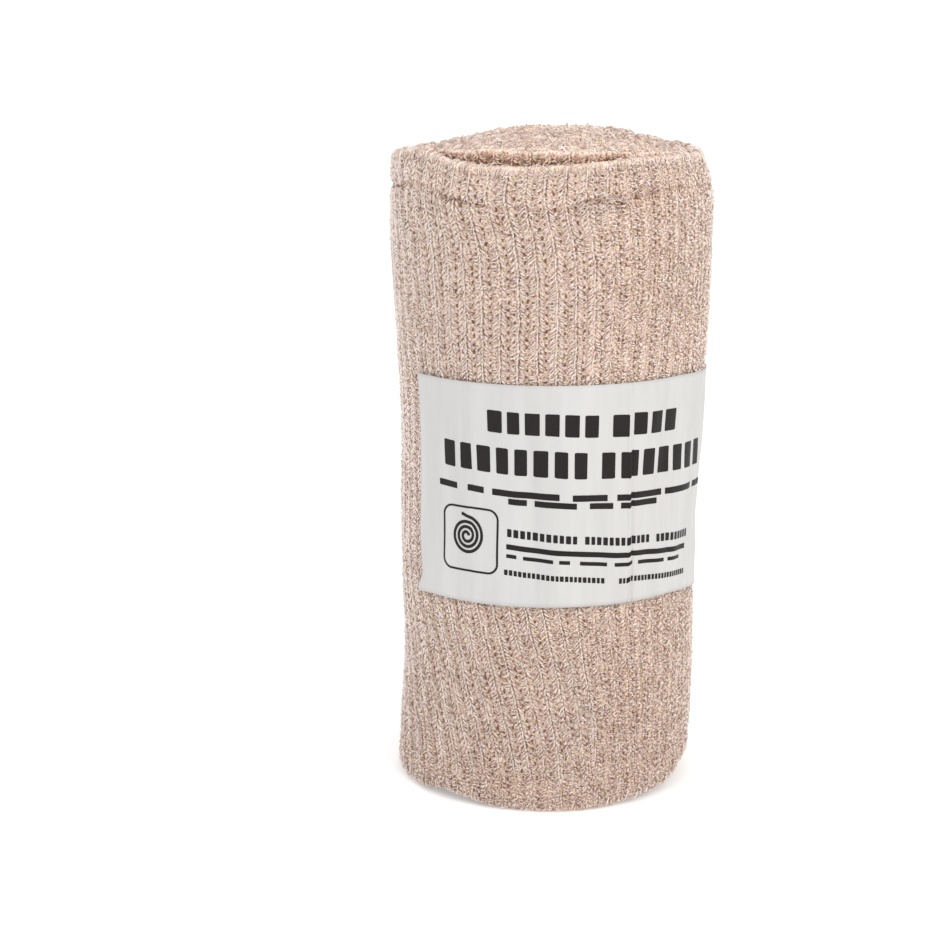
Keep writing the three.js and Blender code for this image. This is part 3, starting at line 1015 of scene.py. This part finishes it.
def makeLoose(kind, band, seed):  # bits of yarn off the pattern, most of them on the right
    r = np.random.default_rng(seed)
    k, _, z = cellGrid(kind["perCourse"], band)
    count = len(k)
    along, height = profile(kind, "along", "height")
    x = r.uniform(-0.08, 0.98, count)
    z = z + r.uniform(0, 1, count) * knit["course"]
    at = arcOf(k + x, z)
    heading = r.normal(0.3, 0.9, count)[:, None]
    length = r.uniform(*kind["length"], (count, 1))
    bow = 0.24 * (1 - 4 * along**2) * r.choice([-1, 1], (count, 1))
    zs = z[:, None] + length * along * np.sin(heading) + bow
    arc = at[:, None] + length * along * np.cos(heading)
    height = height + r.normal(0, 0.08, (count, 1)) - kind["deep"]
    radius = yarnRadius(r, kind, count)
    tone = yarnTone(r, kind, count)
    offHole = np.abs(x - knit["holes"][0]) > 0.07
    keep = keepOn(r, arc, zs, band) & offHole & (r.random(count) < 0.6 + 0.35 * rightShare(at))
    return laidYarns(band, keep, arc, zs, height, radius, tone)


outerKnit = [
    knitPiece("ribCords", [makeCords(outerBand, 50)]),
    knitPiece("leftArms", [makeArm("left", outerBand, 51)]),
    knitPiece("rightArms", [makeArm("right", outerBand, 52)]),
    knitPiece("yarnBridges", [makeBridges(outerBand, 53)]),
    knitPiece("looseLoops", [makeLoose(looseBit, outerBand, 54)]),
]
innerParts = [
    makeCords(innerBand, 55),
    makeArm("left", innerBand, 56),
    makeArm("right", innerBand, 57),
    makeBridges(innerBand, 58),
    makeLoose(looseBit, innerBand, 59),
    makeLoose(darkBit, innerBand, 60),
]
innerKnit = knitPiece("innerKnit", innerParts, shadedInnerMaterial)
print("stage: knit made,", faceCount([*outerKnit, innerKnit]), "faces")

# The loops over the strip's two edges, on every turn, and small knots on the crest between them. What has
# one value a ring runs from the strip's front over its edge to its back.
rim = {
    "spacing": (1.0, 0.66),  # mm, at the foot and at the top
    "radius": 0.185,
    "uneven": (0.82, 1.15),
    "thick": (0.5, 0.85, 1, 1.05, 1, 0.85, 0.5),
    "height": (-0.2, 0.02, -0.08, -0.7, -1.35, -1.85, -2.0),
    "drop": (2.5, 1.3, 0.3, -0.2, -0.2, 0.3, 1.5),  # mm inwards from the edge,
    "inset": (0.58, 0.35),  # and from there, at the foot and at the top
    "lumpy": (0, 0.4, 1, 1, 1, 0.8, 0),
    "lift": (0, 0.2, 0.8, 1, 1, 0.6, 0.2),  # how far its face looks up or down
    # painted shade: lightest over the crest, darker on the front and darkest on the strip's back inside the
    # roll
    "light": (0.8, 0.95, 1, 1, 1, 0.6, 0.2),
}
rimKnot = {
    "perMm": (1.0, 1.5),
    "inset": (0.42, 0.14),
    "radius": 0.22,
    "uneven": (0.7, 1.2),
    "thick": (0.55, 1, 1, 0.55),
    "tone": (0.55, 0.24, 0.1, 1.1),
    # painted shade, darker at the knots' sunk ends
    "light": (0.7, 1, 1, 0.7),
}


def rimLoops(r, isTop, t, length):
    spacing = rim["spacing"][isTop]
    count = int(length[-1] / spacing)
    along = (np.arange(count) + 0.5 + r.normal(0, 0.22, count)) * spacing
    turns = np.interp(along, length, t)
    foot, top = stripEdges(turns)
    height, drop, lumpy, lift, light = profile(rim, "height", "drop", "lumpy", "lift", "light")
    height = height + r.normal(0, 0.04, (count, 7))
    drop = (drop + r.normal(0, 0.06, (count, 7))) * r.uniform(0.6, 1.3, (count, 1))
    drop = drop + r.normal(0, 0.2, (count, 1))
    loose = smoothstep(turns, 1.0, 1.1)[:, None]  # the inner turns lie closer together
    height = height * (1 - 0.12 * loose) - 0.12 * loose
    inset = rim["inset"][isTop]
    z = top[:, None] - inset - drop if isTop else foot[:, None] + inset + np.maximum(drop, -0.18)
    sway = np.linspace(-0.6, 0.6, 7)[None] * r.normal(0.3, 1.4, count)[:, None]
    step = np.gradient(turns) / spacing
    ts = turns[:, None] + (sway + r.normal(0, 0.06, z.shape)) * step[:, None]
    ts = np.clip(ts, 0.0005, windings)
    lumps = ripple(63, along, 40 * np.floor(turns), 1.1)[:, None]
    z = z + 0.24 * lumps * lumpy * (1 if isTop else -0.3)
    radius = yarnRadius(r, rim, count)
    outward = outwardAt(ts, ts.shape)
    facing = outward * (1 - lift[..., None]) + np.array([0, 0, 1 if isTop else -1]) * lift[..., None]
    facing[:, 5:] -= outward[:, 5:] * 0.8
    # painted shade: the inner turns' loops are darker between the windings and lighter on their lumps
    tone = np.clip(r.normal(0.58, 0.18, (count, 1)), 0.2, 1.1) - 0.14 * loose + 0.3 * lumps * loose
    return yarns(stripPoint(ts, z, height), radius, facing, raised=tone * light)


def rimKnots(r, isTop, t, length):
    count = int(length[-1] * rimKnot["perMm"][isTop])
    turns = np.sort(r.uniform(0.001, windings - 0.02, count))
    foot, top = stripEdges(turns)
    step = np.interp(turns, t, np.gradient(t, length))
    part = np.linspace(-0.5, 0.5, 4)[None]
    ts = turns[:, None] + part * r.uniform(0.5, 1.3, (count, 1)) * step[:, None]
    crest = r.uniform(-0.1, 0.12, (count, 1)) + r.uniform(-0.06, 0.06, (count, 4)) - 0.12 * np.abs(part) * 2
    inset = rimKnot["inset"][isTop]
    z = top[:, None] - inset + crest if isTop else np.maximum(foot[:, None] + inset - crest, 0.3)
    height = r.uniform(-1.75, -0.2, (count, 1)) + part * r.uniform(-0.9, 0.9, (count, 1))
    radius = yarnRadius(r, rimKnot, count)
    facing = np.broadcast_to(np.array([0, 0, 1.0 if isTop else -1.0]), (count, 4, 3))
    path = stripPoint(np.clip(ts, 0.0005, windings), z, height)
    return yarns(path, radius, facing, raised=yarnTone(r, rimKnot, count))


def makeRim(name, isTop, seed):
    r = np.random.default_rng(seed)
    t, length = alongStrip(6000)
    return knitPiece(name, [rimLoops(r, isTop, t, length), rimKnots(r, isTop, t, length)])


topRim = makeRim("upperRimLoops", True, 61)
footRim = makeRim("lowerRimLoops", False, 62)

# The loops and knots over the strip's free end
endLoops = {
    "radius": 0.21,
    "loop": {
        "perMm": 1.7,
        "shift": 0.1,
        "height": (0.25, 0.3, 0.0, -0.7, -1.4, -1.85, -2.0),
        "reach": (-1.4, -0.3, 0.3, 0.42, 0.38, 0.1, -0.6),
    },
    "knot": {
        "perMm": 2.2,
        "shift": 0.75,
        "height": (-0.8, -0.93, -1.06, -1.2),
        "reach": (0.0, 0.14, 0.14, 0.0),
    },
    "slope": 0.9,
    "lowest": 0.4,
}


def makeEnd(seed):
    r = np.random.default_rng(seed)
    foot, top = (edge[0] for edge in stripEdges(np.zeros(1)))
    away = stripPoint(0.0005, roll["halfWay"], -1.0) - stripPoint(0.006, roll["halfWay"], -1.0)
    away /= np.linalg.norm(away)
    parts = []
    for kind in (endLoops["loop"], endLoops["knot"]):
        height, reach = profile(kind, "height", "reach")
        count = int((top - foot) * kind["perMm"])
        part = np.linspace(-0.5, 0.5, height.size)[None]
        middle = np.linspace(foot + 0.8, top - 0.6, count)[:, None] + r.normal(0, 0.2, (count, 1))
        z = middle + part * r.normal(0.2, endLoops["slope"], (count, 1))
        z = np.maximum(z, endLoops["lowest"])
        height = height + r.uniform(-1, 1, (count, 1)) * kind["shift"]
        reach = reach * r.uniform(0.6, 1.2, (count, 1)) + r.normal(0, 0.05, z.shape)
        path = stripPoint(0.0005, z, height) + away * reach[..., None]
        facing = outwardAt(0.0005, z.shape) * (-1.6 * part)[..., None] + away
        radius = endLoops["radius"] * np.cos(2.2 * part) * r.uniform(0.8, 1.2, (count, 1))
        # painted shade, darker towards each loop's ends where it sinks into the cut end
        tone = np.clip(r.normal(0.6, 0.18, (count, 1)), 0.2, 1.1) * np.cos(1.4 * part)
        parts.append(yarns(path, radius, facing, raised=tone))
    return knitPiece("endLoops", parts)


freeEnd = makeEnd(64)
print("stage: rims made,", faceCount([topRim, footRim, freeEnd]), "faces")

# Stitching on the hem, and the loose thread ends at the front right of it
stitching = {
    "pitch": 2.3,
    "length": 2.1,
    "height": (-0.35, 0.16, 0.16, -0.35),
    "radius": 0.13,
    "thick": (0.6, 1, 1, 0.6),
    "tone": 0.2,
}
tangle = {"count": 30, "rings": 14, "length": (2.5, 6.5), "radius": 0.12, "uneven": (0.8, 1.2)}


def stitchLine(r):
    count = int((arcEnd - arcStart) / stitching["pitch"])
    at = arcStart + (np.arange(count) + 0.5) * stitching["pitch"]
    part = np.linspace(-0.5, 0.5, 4)[None]
    height, thick = profile(stitching, "height", "thick")
    arc = at[:, None] + stitching["length"] * part
    z = seamZ(angleOf(arc)) + r.normal(0, 0.12, (count, 1)) + 0.5 * part * r.choice([-1, 1], count)[:, None]
    t = turnsOf(angleOf(arc))
    keep = (t.min(1) > 0.002) & (t.max(1) < 0.99)
    t, z = t[keep], z[keep]
    radius = stitching["radius"] * thick + 0 * t
    tone = np.full(len(t), stitching["tone"])
    return yarns(stripPoint(t, z, height), radius, outwardAt(t, t.shape), raised=tone)


def tangles(r):
    count = tangle["count"]
    angle = r.uniform(knit["hemZone"][0], knit["hemZone"][1] - 6, count)
    part = np.linspace(0, 1, tangle["rings"])[None]
    length = r.uniform(*tangle["length"], (count, 1))
    heading = r.normal(0, 0.35, (count, 1))
    waves = length / r.uniform(1.3, 2.4, (count, 1))
    turn = 2 * np.pi * waves * part + r.uniform(0, 6.28, (count, 1))
    arc = arcAt(angle)[:, None] + length * part * np.cos(heading) + 0.12 * np.cos(turn)
    z = seamZ(angle)[:, None] + r.normal(0.4, 1.2, (count, 1)) + length * part * np.sin(heading)
    z = z + r.uniform(0.2, 0.45, (count, 1)) * np.sin(turn)
    height = 0.02 + 0.14 * np.sin(np.pi * part) * r.random((count, 1))
    radius = tangle["radius"] * np.ones_like(arc) * r.uniform(*tangle["uneven"], (count, 1))
    t = turnsOf(angleOf(arc))
    tone = np.clip(r.normal(0.66, 0.2, count), 0.2, 1.1)
    return yarns(stripPoint(t, z, height), radius, outwardAt(t, t.shape), raised=tone)


# Fine hairs that stand off the knit
fibres = {
    "count": 1700,
    "length": (1.2, 4.2),
    "away": (0.15, 0.75),  # how far the free end stands off, in shares of its length
    "radius": 0.032,
    "thick": (1, 1, 0.9, 0.8, 0.4),
    "lowest": 0.2,
}


def makeFibres():
    r = np.random.default_rng(81)
    t = r.uniform(0.01, 0.97, fibres["count"])
    z = r.uniform(2, 151, fibres["count"])
    keep = ~underLabel(arcAt(angleAt(t)), z, -1.5)
    t, z = t[keep], z[keep]
    count = len(t)
    start = stripPoint(t, z, 0.1)
    outward = outwardAt(t, t.shape)
    side = np.cross(outward, [0, 0, 1.0])
    heading = r.uniform(0, 2 * np.pi, (count, 1))
    flat = side * np.cos(heading) + np.array([0, 0, 1.0]) * np.sin(heading)
    bend = np.cross(outward, flat)
    length = r.uniform(*fibres["length"], (count, 1, 1))
    thick = profile(fibres, "thick")[0]
    part = np.linspace(0, 1, thick.size)[None, :, None]
    away = r.uniform(*fibres["away"], (count, 1, 1)) * (part - 0.6 * part**2)
    path = start[:, None] + length * part * flat[:, None] + length * away * outward[:, None]
    path = path + bend[:, None] * length * r.uniform(-0.5, 0.5, (count, 1, 1)) * part**2
    path[..., 2] = np.maximum(path[..., 2], fibres["lowest"])
    radius = fibres["radius"] * np.ones((count, 1)) * thick
    facing = np.repeat(outward[:, None], thick.size, 1)
    return knitPiece("looseFibres", [yarns(path, radius, facing, raised=np.ones(count))])


hemRandom = np.random.default_rng(71)
stitches = knitPiece("hemStitching", [stitchLine(hemRandom), tangles(hemRandom)])
hairs = makeFibres()
stripLength = alongStrip(4000)[1][-1] * mm
print("stage: stitching and fibres made; strip is", round(stripLength, 3), "m long")


# The label
def labelPoint(s, z, lift):  # s is mm along the label from its left end
    s, z, lift = np.broadcast_arrays(*(np.asarray(v, float) for v in (s, z, lift)))
    t = (z - labelSheet["foot"]) / labelSheet["height"]
    pinch = s - labelSheet["pinchAt"] - labelSheet["pinchLean"] * (1 - t)
    strength = 0.7 + 0.3 * np.sin(3 * t + 1)
    ridge, hollow = labelSheet["pinch"], labelSheet["pinchHollow"]
    off = ridge["off"] * strength * hill(pinch, ridge["width"])
    off = off - hollow["off"] * strength * hill(pinch - hollow["after"], hollow["width"])
    for crease in labelSheet["creases"]:
        beside = s - crease["at"] - crease["lean"] * t - crease["sway"] * np.sin(3 * t)
        share = smoothstep(t, *crease["fade"]) if crease["fade"] else 1
        off = off + crease["off"] * hill(beside, crease["width"]) * share
    up = z - labelSheet["foot"]
    inside = np.minimum.reduce([s, labelSheet["width"] - s, up, labelSheet["height"] - up])
    wide, fine = labelSheet["waves"]
    waves = wide * ripple(91, s, z * 0.3, 7) + fine * ripple(92, s, z * 0.3, 2.4)
    off = off + smoothstep(inside, 0, 7) * waves
    corner = np.hypot(s, up)
    curl, hollow = labelSheet["curl"], labelSheet["curlHollow"]
    off = off + curl["off"] * hill(corner, curl["width"])
    off = off - hollow["off"] * hill(corner - hollow["at"], hollow["width"])
    angle = labelSheet["start"] + np.degrees(s / labelSheet["radius"])
    plain = stripPoint(turnsOf(angle), z, 0)
    dx, dy = direction(angle)
    off = off + lift - 0.8 * relief(angle, z)
    return np.stack([plain[..., 0] + dx * off, plain[..., 1] + dy * off, z], -1)


def labelColumns():  # s of the sheet's columns, closer together at the pinched fold
    s = np.arange(0, labelSheet["width"] + 1e-6, labelSheet["stepAcross"])
    s = s * labelSheet["width"] / s[-1]
    start, end = labelSheet["pinchZone"]
    fold = np.arange(labelSheet["pinchAt"] + start, labelSheet["pinchAt"] + end, labelSheet["pinchStep"])
    return np.concatenate([s[s < fold[0] - 0.05], fold, s[s > fold[-1] + 0.05]])


def labelGrid():
    up = np.linspace(0, 1, int(labelSheet["height"] / labelSheet["stepUp"]) + 1)
    s, t = np.meshgrid(labelColumns(), up, indexing="ij")
    sag = smoothstep(s, *labelSheet["sagZone"])
    low = labelSheet["foot"] - labelSheet["sag"][0] * sag
    high = labelSheet["foot"] + labelSheet["height"] - labelSheet["sag"][1] * sag
    fromBow = t - labelSheet["bowAt"]
    bow = labelSheet["bow"] * hill(fromBow, np.where(fromBow < 0, 0.05, 0.1)) * np.exp(-s / 3)
    return s + bow, low + (high - low) * t


def makeLabel():
    s, z = labelGrid()
    front = labelPoint(s, z, labelSheet["under"] + labelSheet["thickness"])
    ends = smoothstep(np.minimum(s, labelSheet["width"] - s), 1.4, 0)
    back = labelPoint(s, z, labelSheet["under"] - labelSheet["stuckDown"] * ends)
    return buildMesh("labelPaper", *sheetParts(front, back), paperMaterial, "label_paper")


labelPaper = makeLabel()
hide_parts("label")

# The print is generic: plain blocks and bars for its lines, and a sign of a wound roll. Each line runs
# from left to right, (mm from the label's left end, z), tall mm high, over its words' spans.
labelPrint = {
    "lift": 0.045,
    "gap": 0.24,  # between blocks, in shares of a line's height
    "step": 0.45,  # mm that the print stands higher past the pinch
    "stepZone": (0.4, 1.2),  # mm past it
    "lines": [
        {"left": (21.7, 94.1), "right": (70.0, 91.9), "tall": 5.2, "block": 4.2,
         "words": [(21.7, 47.6), (51.2, 70.0)]},
        {"left": (9.6, 85.5), "right": (83.5, 81.9), "tall": 6.2, "block": 4.7,
         "words": [(9.6, 45.0), (48.6, 83.5)]},
        {"left": (7.8, 78.1), "right": (88.0, 73.9), "tall": 1.5, "block": 0,
         "words": [(7.8, 13.2), (16.0, 20.4), (22.6, 38.6), (41.6, 50.2), (52.6, 66.0), (67.2, 79.0),
                   (80.2, 87.4)]},
        {"left": (26.6, 75.3), "right": (64.4, 73.2), "tall": 1.4, "block": 0,
         "words": [(26.6, 31.0), (32.8, 42.6), (45.8, 51.6), (53.6, 64.4)]},
        {"left": (26.4, 67.9), "right": (78.6, 62.8), "tall": 1.9, "block": 1.5,
         "words": [(26.4, 42.8), (44.8, 62.2), (64.4, 78.6)]},
        {"left": (26.2, 64.6), "right": (77.5, 59.7), "tall": 1.25, "block": 0, "words": [(26.2, 77.5)]},
        {"left": (26.2, 62.4), "right": (77.0, 57.5), "tall": 0.9, "block": 0,
         "words": [(26.2, 28.6), (30.2, 37.2), (38.6, 41.2), (43.6, 50.2), (52.0, 57.0), (58.6, 67.2),
                   (68.8, 74.4)]},
        {"left": (25.7, 58.5), "right": (77.2, 53.6), "tall": 1.3, "block": 1.1,
         "words": [(25.7, 49.6), (53.2, 77.2)]},
    ],
    "sign": {"centre": (16.6, 65.4), "size": 15.0, "corner": 2.4, "line": 0.5},
    "coil": {"turns": 3.2, "reach": (0.5, 4.4), "tail": 3.0, "line": 0.75, "aside": 0.8},
}


def printedBar(s0, s1, z0, z1, tall):
    s = labelColumns()
    s = np.concatenate([[s0], s[(s > s0 + 0.06) & (s < s1 - 0.06)], [s1]])
    start, end = labelPrint["stepZone"]
    shift = labelPrint["step"] * smoothstep(s, labelSheet["pinchAt"] + start, labelSheet["pinchAt"] + end)
    middle = z0 + (z1 - z0) * (s - s0) / (s1 - s0) + shift
    rows = np.ones((len(s), 4)) * np.linspace(-0.5, 0.5, 4)
    rows[[0, -1]] *= 0.94  # slightly rounded corners
    z = middle[:, None] + tall * rows
    return s[:, None] + 0 * z, z


def evenPath(points, step, closed):  # the same line with a point every step mm
    if closed:
        points = np.concatenate([points, points[:1]])
    along = np.concatenate([[0], np.cumsum(np.linalg.norm(np.diff(points, axis=0), axis=1))])
    at = np.linspace(0, along[-1], int(along[-1] / step) + 1)
    return np.stack([np.interp(at, along, points[:, i]) for i in (0, 1)], 1)


def ribbon(path, width):  # a flat line along points (s, z)
    along = np.gradient(path, axis=0)
    along /= np.linalg.norm(along, axis=1, keepdims=True)
    off = np.stack([-along[:, 1], along[:, 0]], 1) * width / 2
    left, right = path + off, path - off
    return tuple(np.stack([left[:, i], right[:, i]], 1) for i in (0, 1))


def printedWords(r):
    patches = []
    for line in labelPrint["lines"]:
        (sa, za), (sb, zb) = line["left"], line["right"]
        for s0, s1 in line["words"]:
            count = round((s1 - s0) / line["block"]) if line["block"] else 1
            gap = labelPrint["gap"] * line["tall"] if count > 1 else 0
            edges = np.linspace(s0, s1 + gap, count + 1)
            shift = r.uniform(-0.08, 0.08, count + 1) * (s1 - s0) / count
            edges[1:-1] += shift[1:-1]
            for a, b in zip(edges[:-1], edges[1:] - gap):
                heights = [za + (zb - za) * (v - sa) / (sb - sa) for v in (a, b)]
                patches.append(printedBar(a, b, *heights, line["tall"]))
    return patches


def printedSign():  # a square with rounded corners round a coil with a loose end
    sign, coil = labelPrint["sign"], labelPrint["coil"]
    cx, cz = sign["centre"]
    half, corner = sign["size"] / 2, sign["corner"]
    turn = np.linspace(0, 2 * np.pi, 49)[:-1]
    x, z = ((half - corner) * np.sign(f(turn + 1e-6)) + corner * f(turn) for f in (np.cos, np.sin))
    square = ribbon(evenPath(np.stack([cx + x, cz + z], 1), 0.4, True), sign["line"])
    angle = np.linspace(0, 2 * np.pi * coil["turns"], 150)
    start, end = coil["reach"]
    reach = start + (end - start) * angle / angle[-1]
    middle = np.array([cx - coil["aside"], cz + coil["aside"]])
    path = middle + reach[:, None] * np.stack([np.cos(angle), np.sin(angle)], 1)
    heading = np.array([-np.sin(angle[-1]), np.cos(angle[-1])])
    tail = path[-1] + heading * np.linspace(0.1, coil["tail"], 12)[:, None]
    return [square, ribbon(evenPath(np.concatenate([path, tail]), 0.35, False), coil["line"])]


def makePrint():
    patches = printedWords(np.random.default_rng(95)) + printedSign()
    lift = labelSheet["under"] + labelSheet["thickness"] + labelPrint["lift"]
    parts = []
    for s, z in patches:
        points = labelPoint(s, z, lift).reshape(-1, 3)
        quads = gridQuads(np.arange(s.size).reshape(s.shape))
        a, b, c = points[quads[0, :3]]
        facing = np.cross(b - a, c - a)[:2] @ a[:2]
        parts.append((points, [quads if facing > 0 else quads[:, ::-1]], {}))
    points, faces, _ = joinParts(parts)
    return buildMesh("labelPrint", points, faces, inkMaterial, "label_paper")


makePrint()
print("stage: label made")

# The dressing pad between the last turn and the inner roll
pad = {
    "start": -75.0,
    "end": 85.0,
    "foot": 16.0,
    "top": 137.2,
    "columnStep": 2.4,  # degrees
    "stepUp": 1.9,
    "rounding": 3.0,
    "quilt": 9.0,
    "quiltDepth": 0.2,
}


def makePad():
    across = np.linspace(pad["start"], pad["end"], int((pad["end"] - pad["start"]) / pad["columnStep"]))
    up = np.linspace(pad["foot"], pad["top"], int((pad["top"] - pad["foot"]) / pad["stepUp"]))
    angle, z = np.meshgrid(across, up, indexing="ij")
    turns = turnsOf(angle)
    sides = [(angle - pad["start"]) * 0.6, (pad["end"] - angle) * 0.6]  # 0.6 mm a degree
    edge = np.minimum.reduce([*sides, z - pad["foot"], pad["top"] - z])
    full = np.sqrt(np.clip(edge / pad["rounding"], 0.02, 1))
    arc = np.radians(angle) * roll["radius"]
    quilt = np.abs(np.sin(np.pi * (arc + z) / pad["quilt"]) * np.sin(np.pi * (arc - z) / pad["quilt"])) ** 0.5
    full = full * (1 - pad["quiltDepth"] + pad["quiltDepth"] * quilt)
    outerFace = stripPoint(turns, z, -roll["thickness"] - roll["clearance"] + 0.1)
    innerFace = stripPoint(turns + 1, z, roll["clearance"] - 0.1)
    middle = (outerFace + innerFace) / 2
    outer, inner = (middle + (face - middle) * full[..., None] for face in (outerFace, innerFace))
    return buildMesh("dressingPad", *sheetParts(outer, inner), gauzeMaterial, "pad_gauze")


dressingPad = makePad()
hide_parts("dressing_pad")
print("stage: dressing pad made")

# Floor, light and camera. A sun's heading is 0 from the front and 90 from the right, its height above the
# floor; both are in degrees.
studio = {
    "floor": 0.85,
    "floorRoughness": 0.9,
    "floorSpecular": 0.2,
    "floorGlow": 0.3,  # keeps the shadow at the foot pale, as on a light table
    "floorSize": 60,
    "world": (1.0, 1.0, 1.0),
    "worldStrength": 0.84,
    "suns": {
        "key": {"heading": 35, "height": 36, "spread": 50, "power": 1.2, "colour": (1.0, 0.955, 0.895)},
        "fill": {"heading": -65, "height": 30, "spread": 80, "power": 0.4, "colour": (0.84, 0.9, 1.0)},
        "back": {"heading": 170, "height": 60, "spread": 80, "power": 0.15, "colour": (1.0, 0.98, 0.96)},
    },
    "cameraAt": (0.0, -0.58, 0.20248),
    "pitch": 0.2184,
    "yaw": 0.03,
    "lens": 92.3,
}


def makeLamp(name, lamp):
    data = bpy.data.lights.new(name, "SUN")
    data.energy = lamp["power"]
    data.color = lamp["colour"]
    data.angle = math.radians(lamp["spread"])
    obj = bpy.data.objects.new(name, data)
    obj.rotation_euler = (math.radians(90 - lamp["height"]), 0, math.radians(lamp["heading"]))
    obj.location = (0, 0, 1)
    bpy.context.scene.collection.objects.link(obj)


def makeStudio():
    floorMaterial, _, shader = newMaterial("paleFloor")
    shader.inputs["Base Color"].default_value = (*[studio["floor"]] * 3, 1)
    shader.inputs["Roughness"].default_value = studio["floorRoughness"]
    shader.inputs["Specular IOR Level"].default_value = studio["floorSpecular"]
    shader.inputs["Emission Color"].default_value = (1, 1, 1, 1)
    shader.inputs["Emission Strength"].default_value = studio["floorGlow"]
    bpy.ops.mesh.primitive_plane_add(size=studio["floorSize"], location=(0, 0, 0))
    floor = bpy.context.object
    floor.name = "floor"
    floor.data.materials.append(floorMaterial)
    world = bpy.data.worlds.new("studioWorld")
    bpy.context.scene.world = world
    world.use_nodes = True
    back = world.node_tree.nodes["Background"]
    back.inputs["Color"].default_value = (*studio["world"], 1)
    back.inputs["Strength"].default_value = studio["worldStrength"]
    for name, lamp in studio["suns"].items():
        makeLamp(name, lamp)
    camera = bpy.data.objects.new("camera", bpy.data.cameras.new("camera"))
    bpy.context.scene.collection.objects.link(camera)
    camera.location = studio["cameraAt"]
    camera.rotation_euler = (math.pi / 2 - studio["pitch"], 0, studio["yaw"])
    camera.data.lens = studio["lens"]
    camera.data.sensor_width = 36
    bpy.context.scene.camera = camera
    bpy.context.scene.view_settings.view_transform = "Standard"


makeStudio()
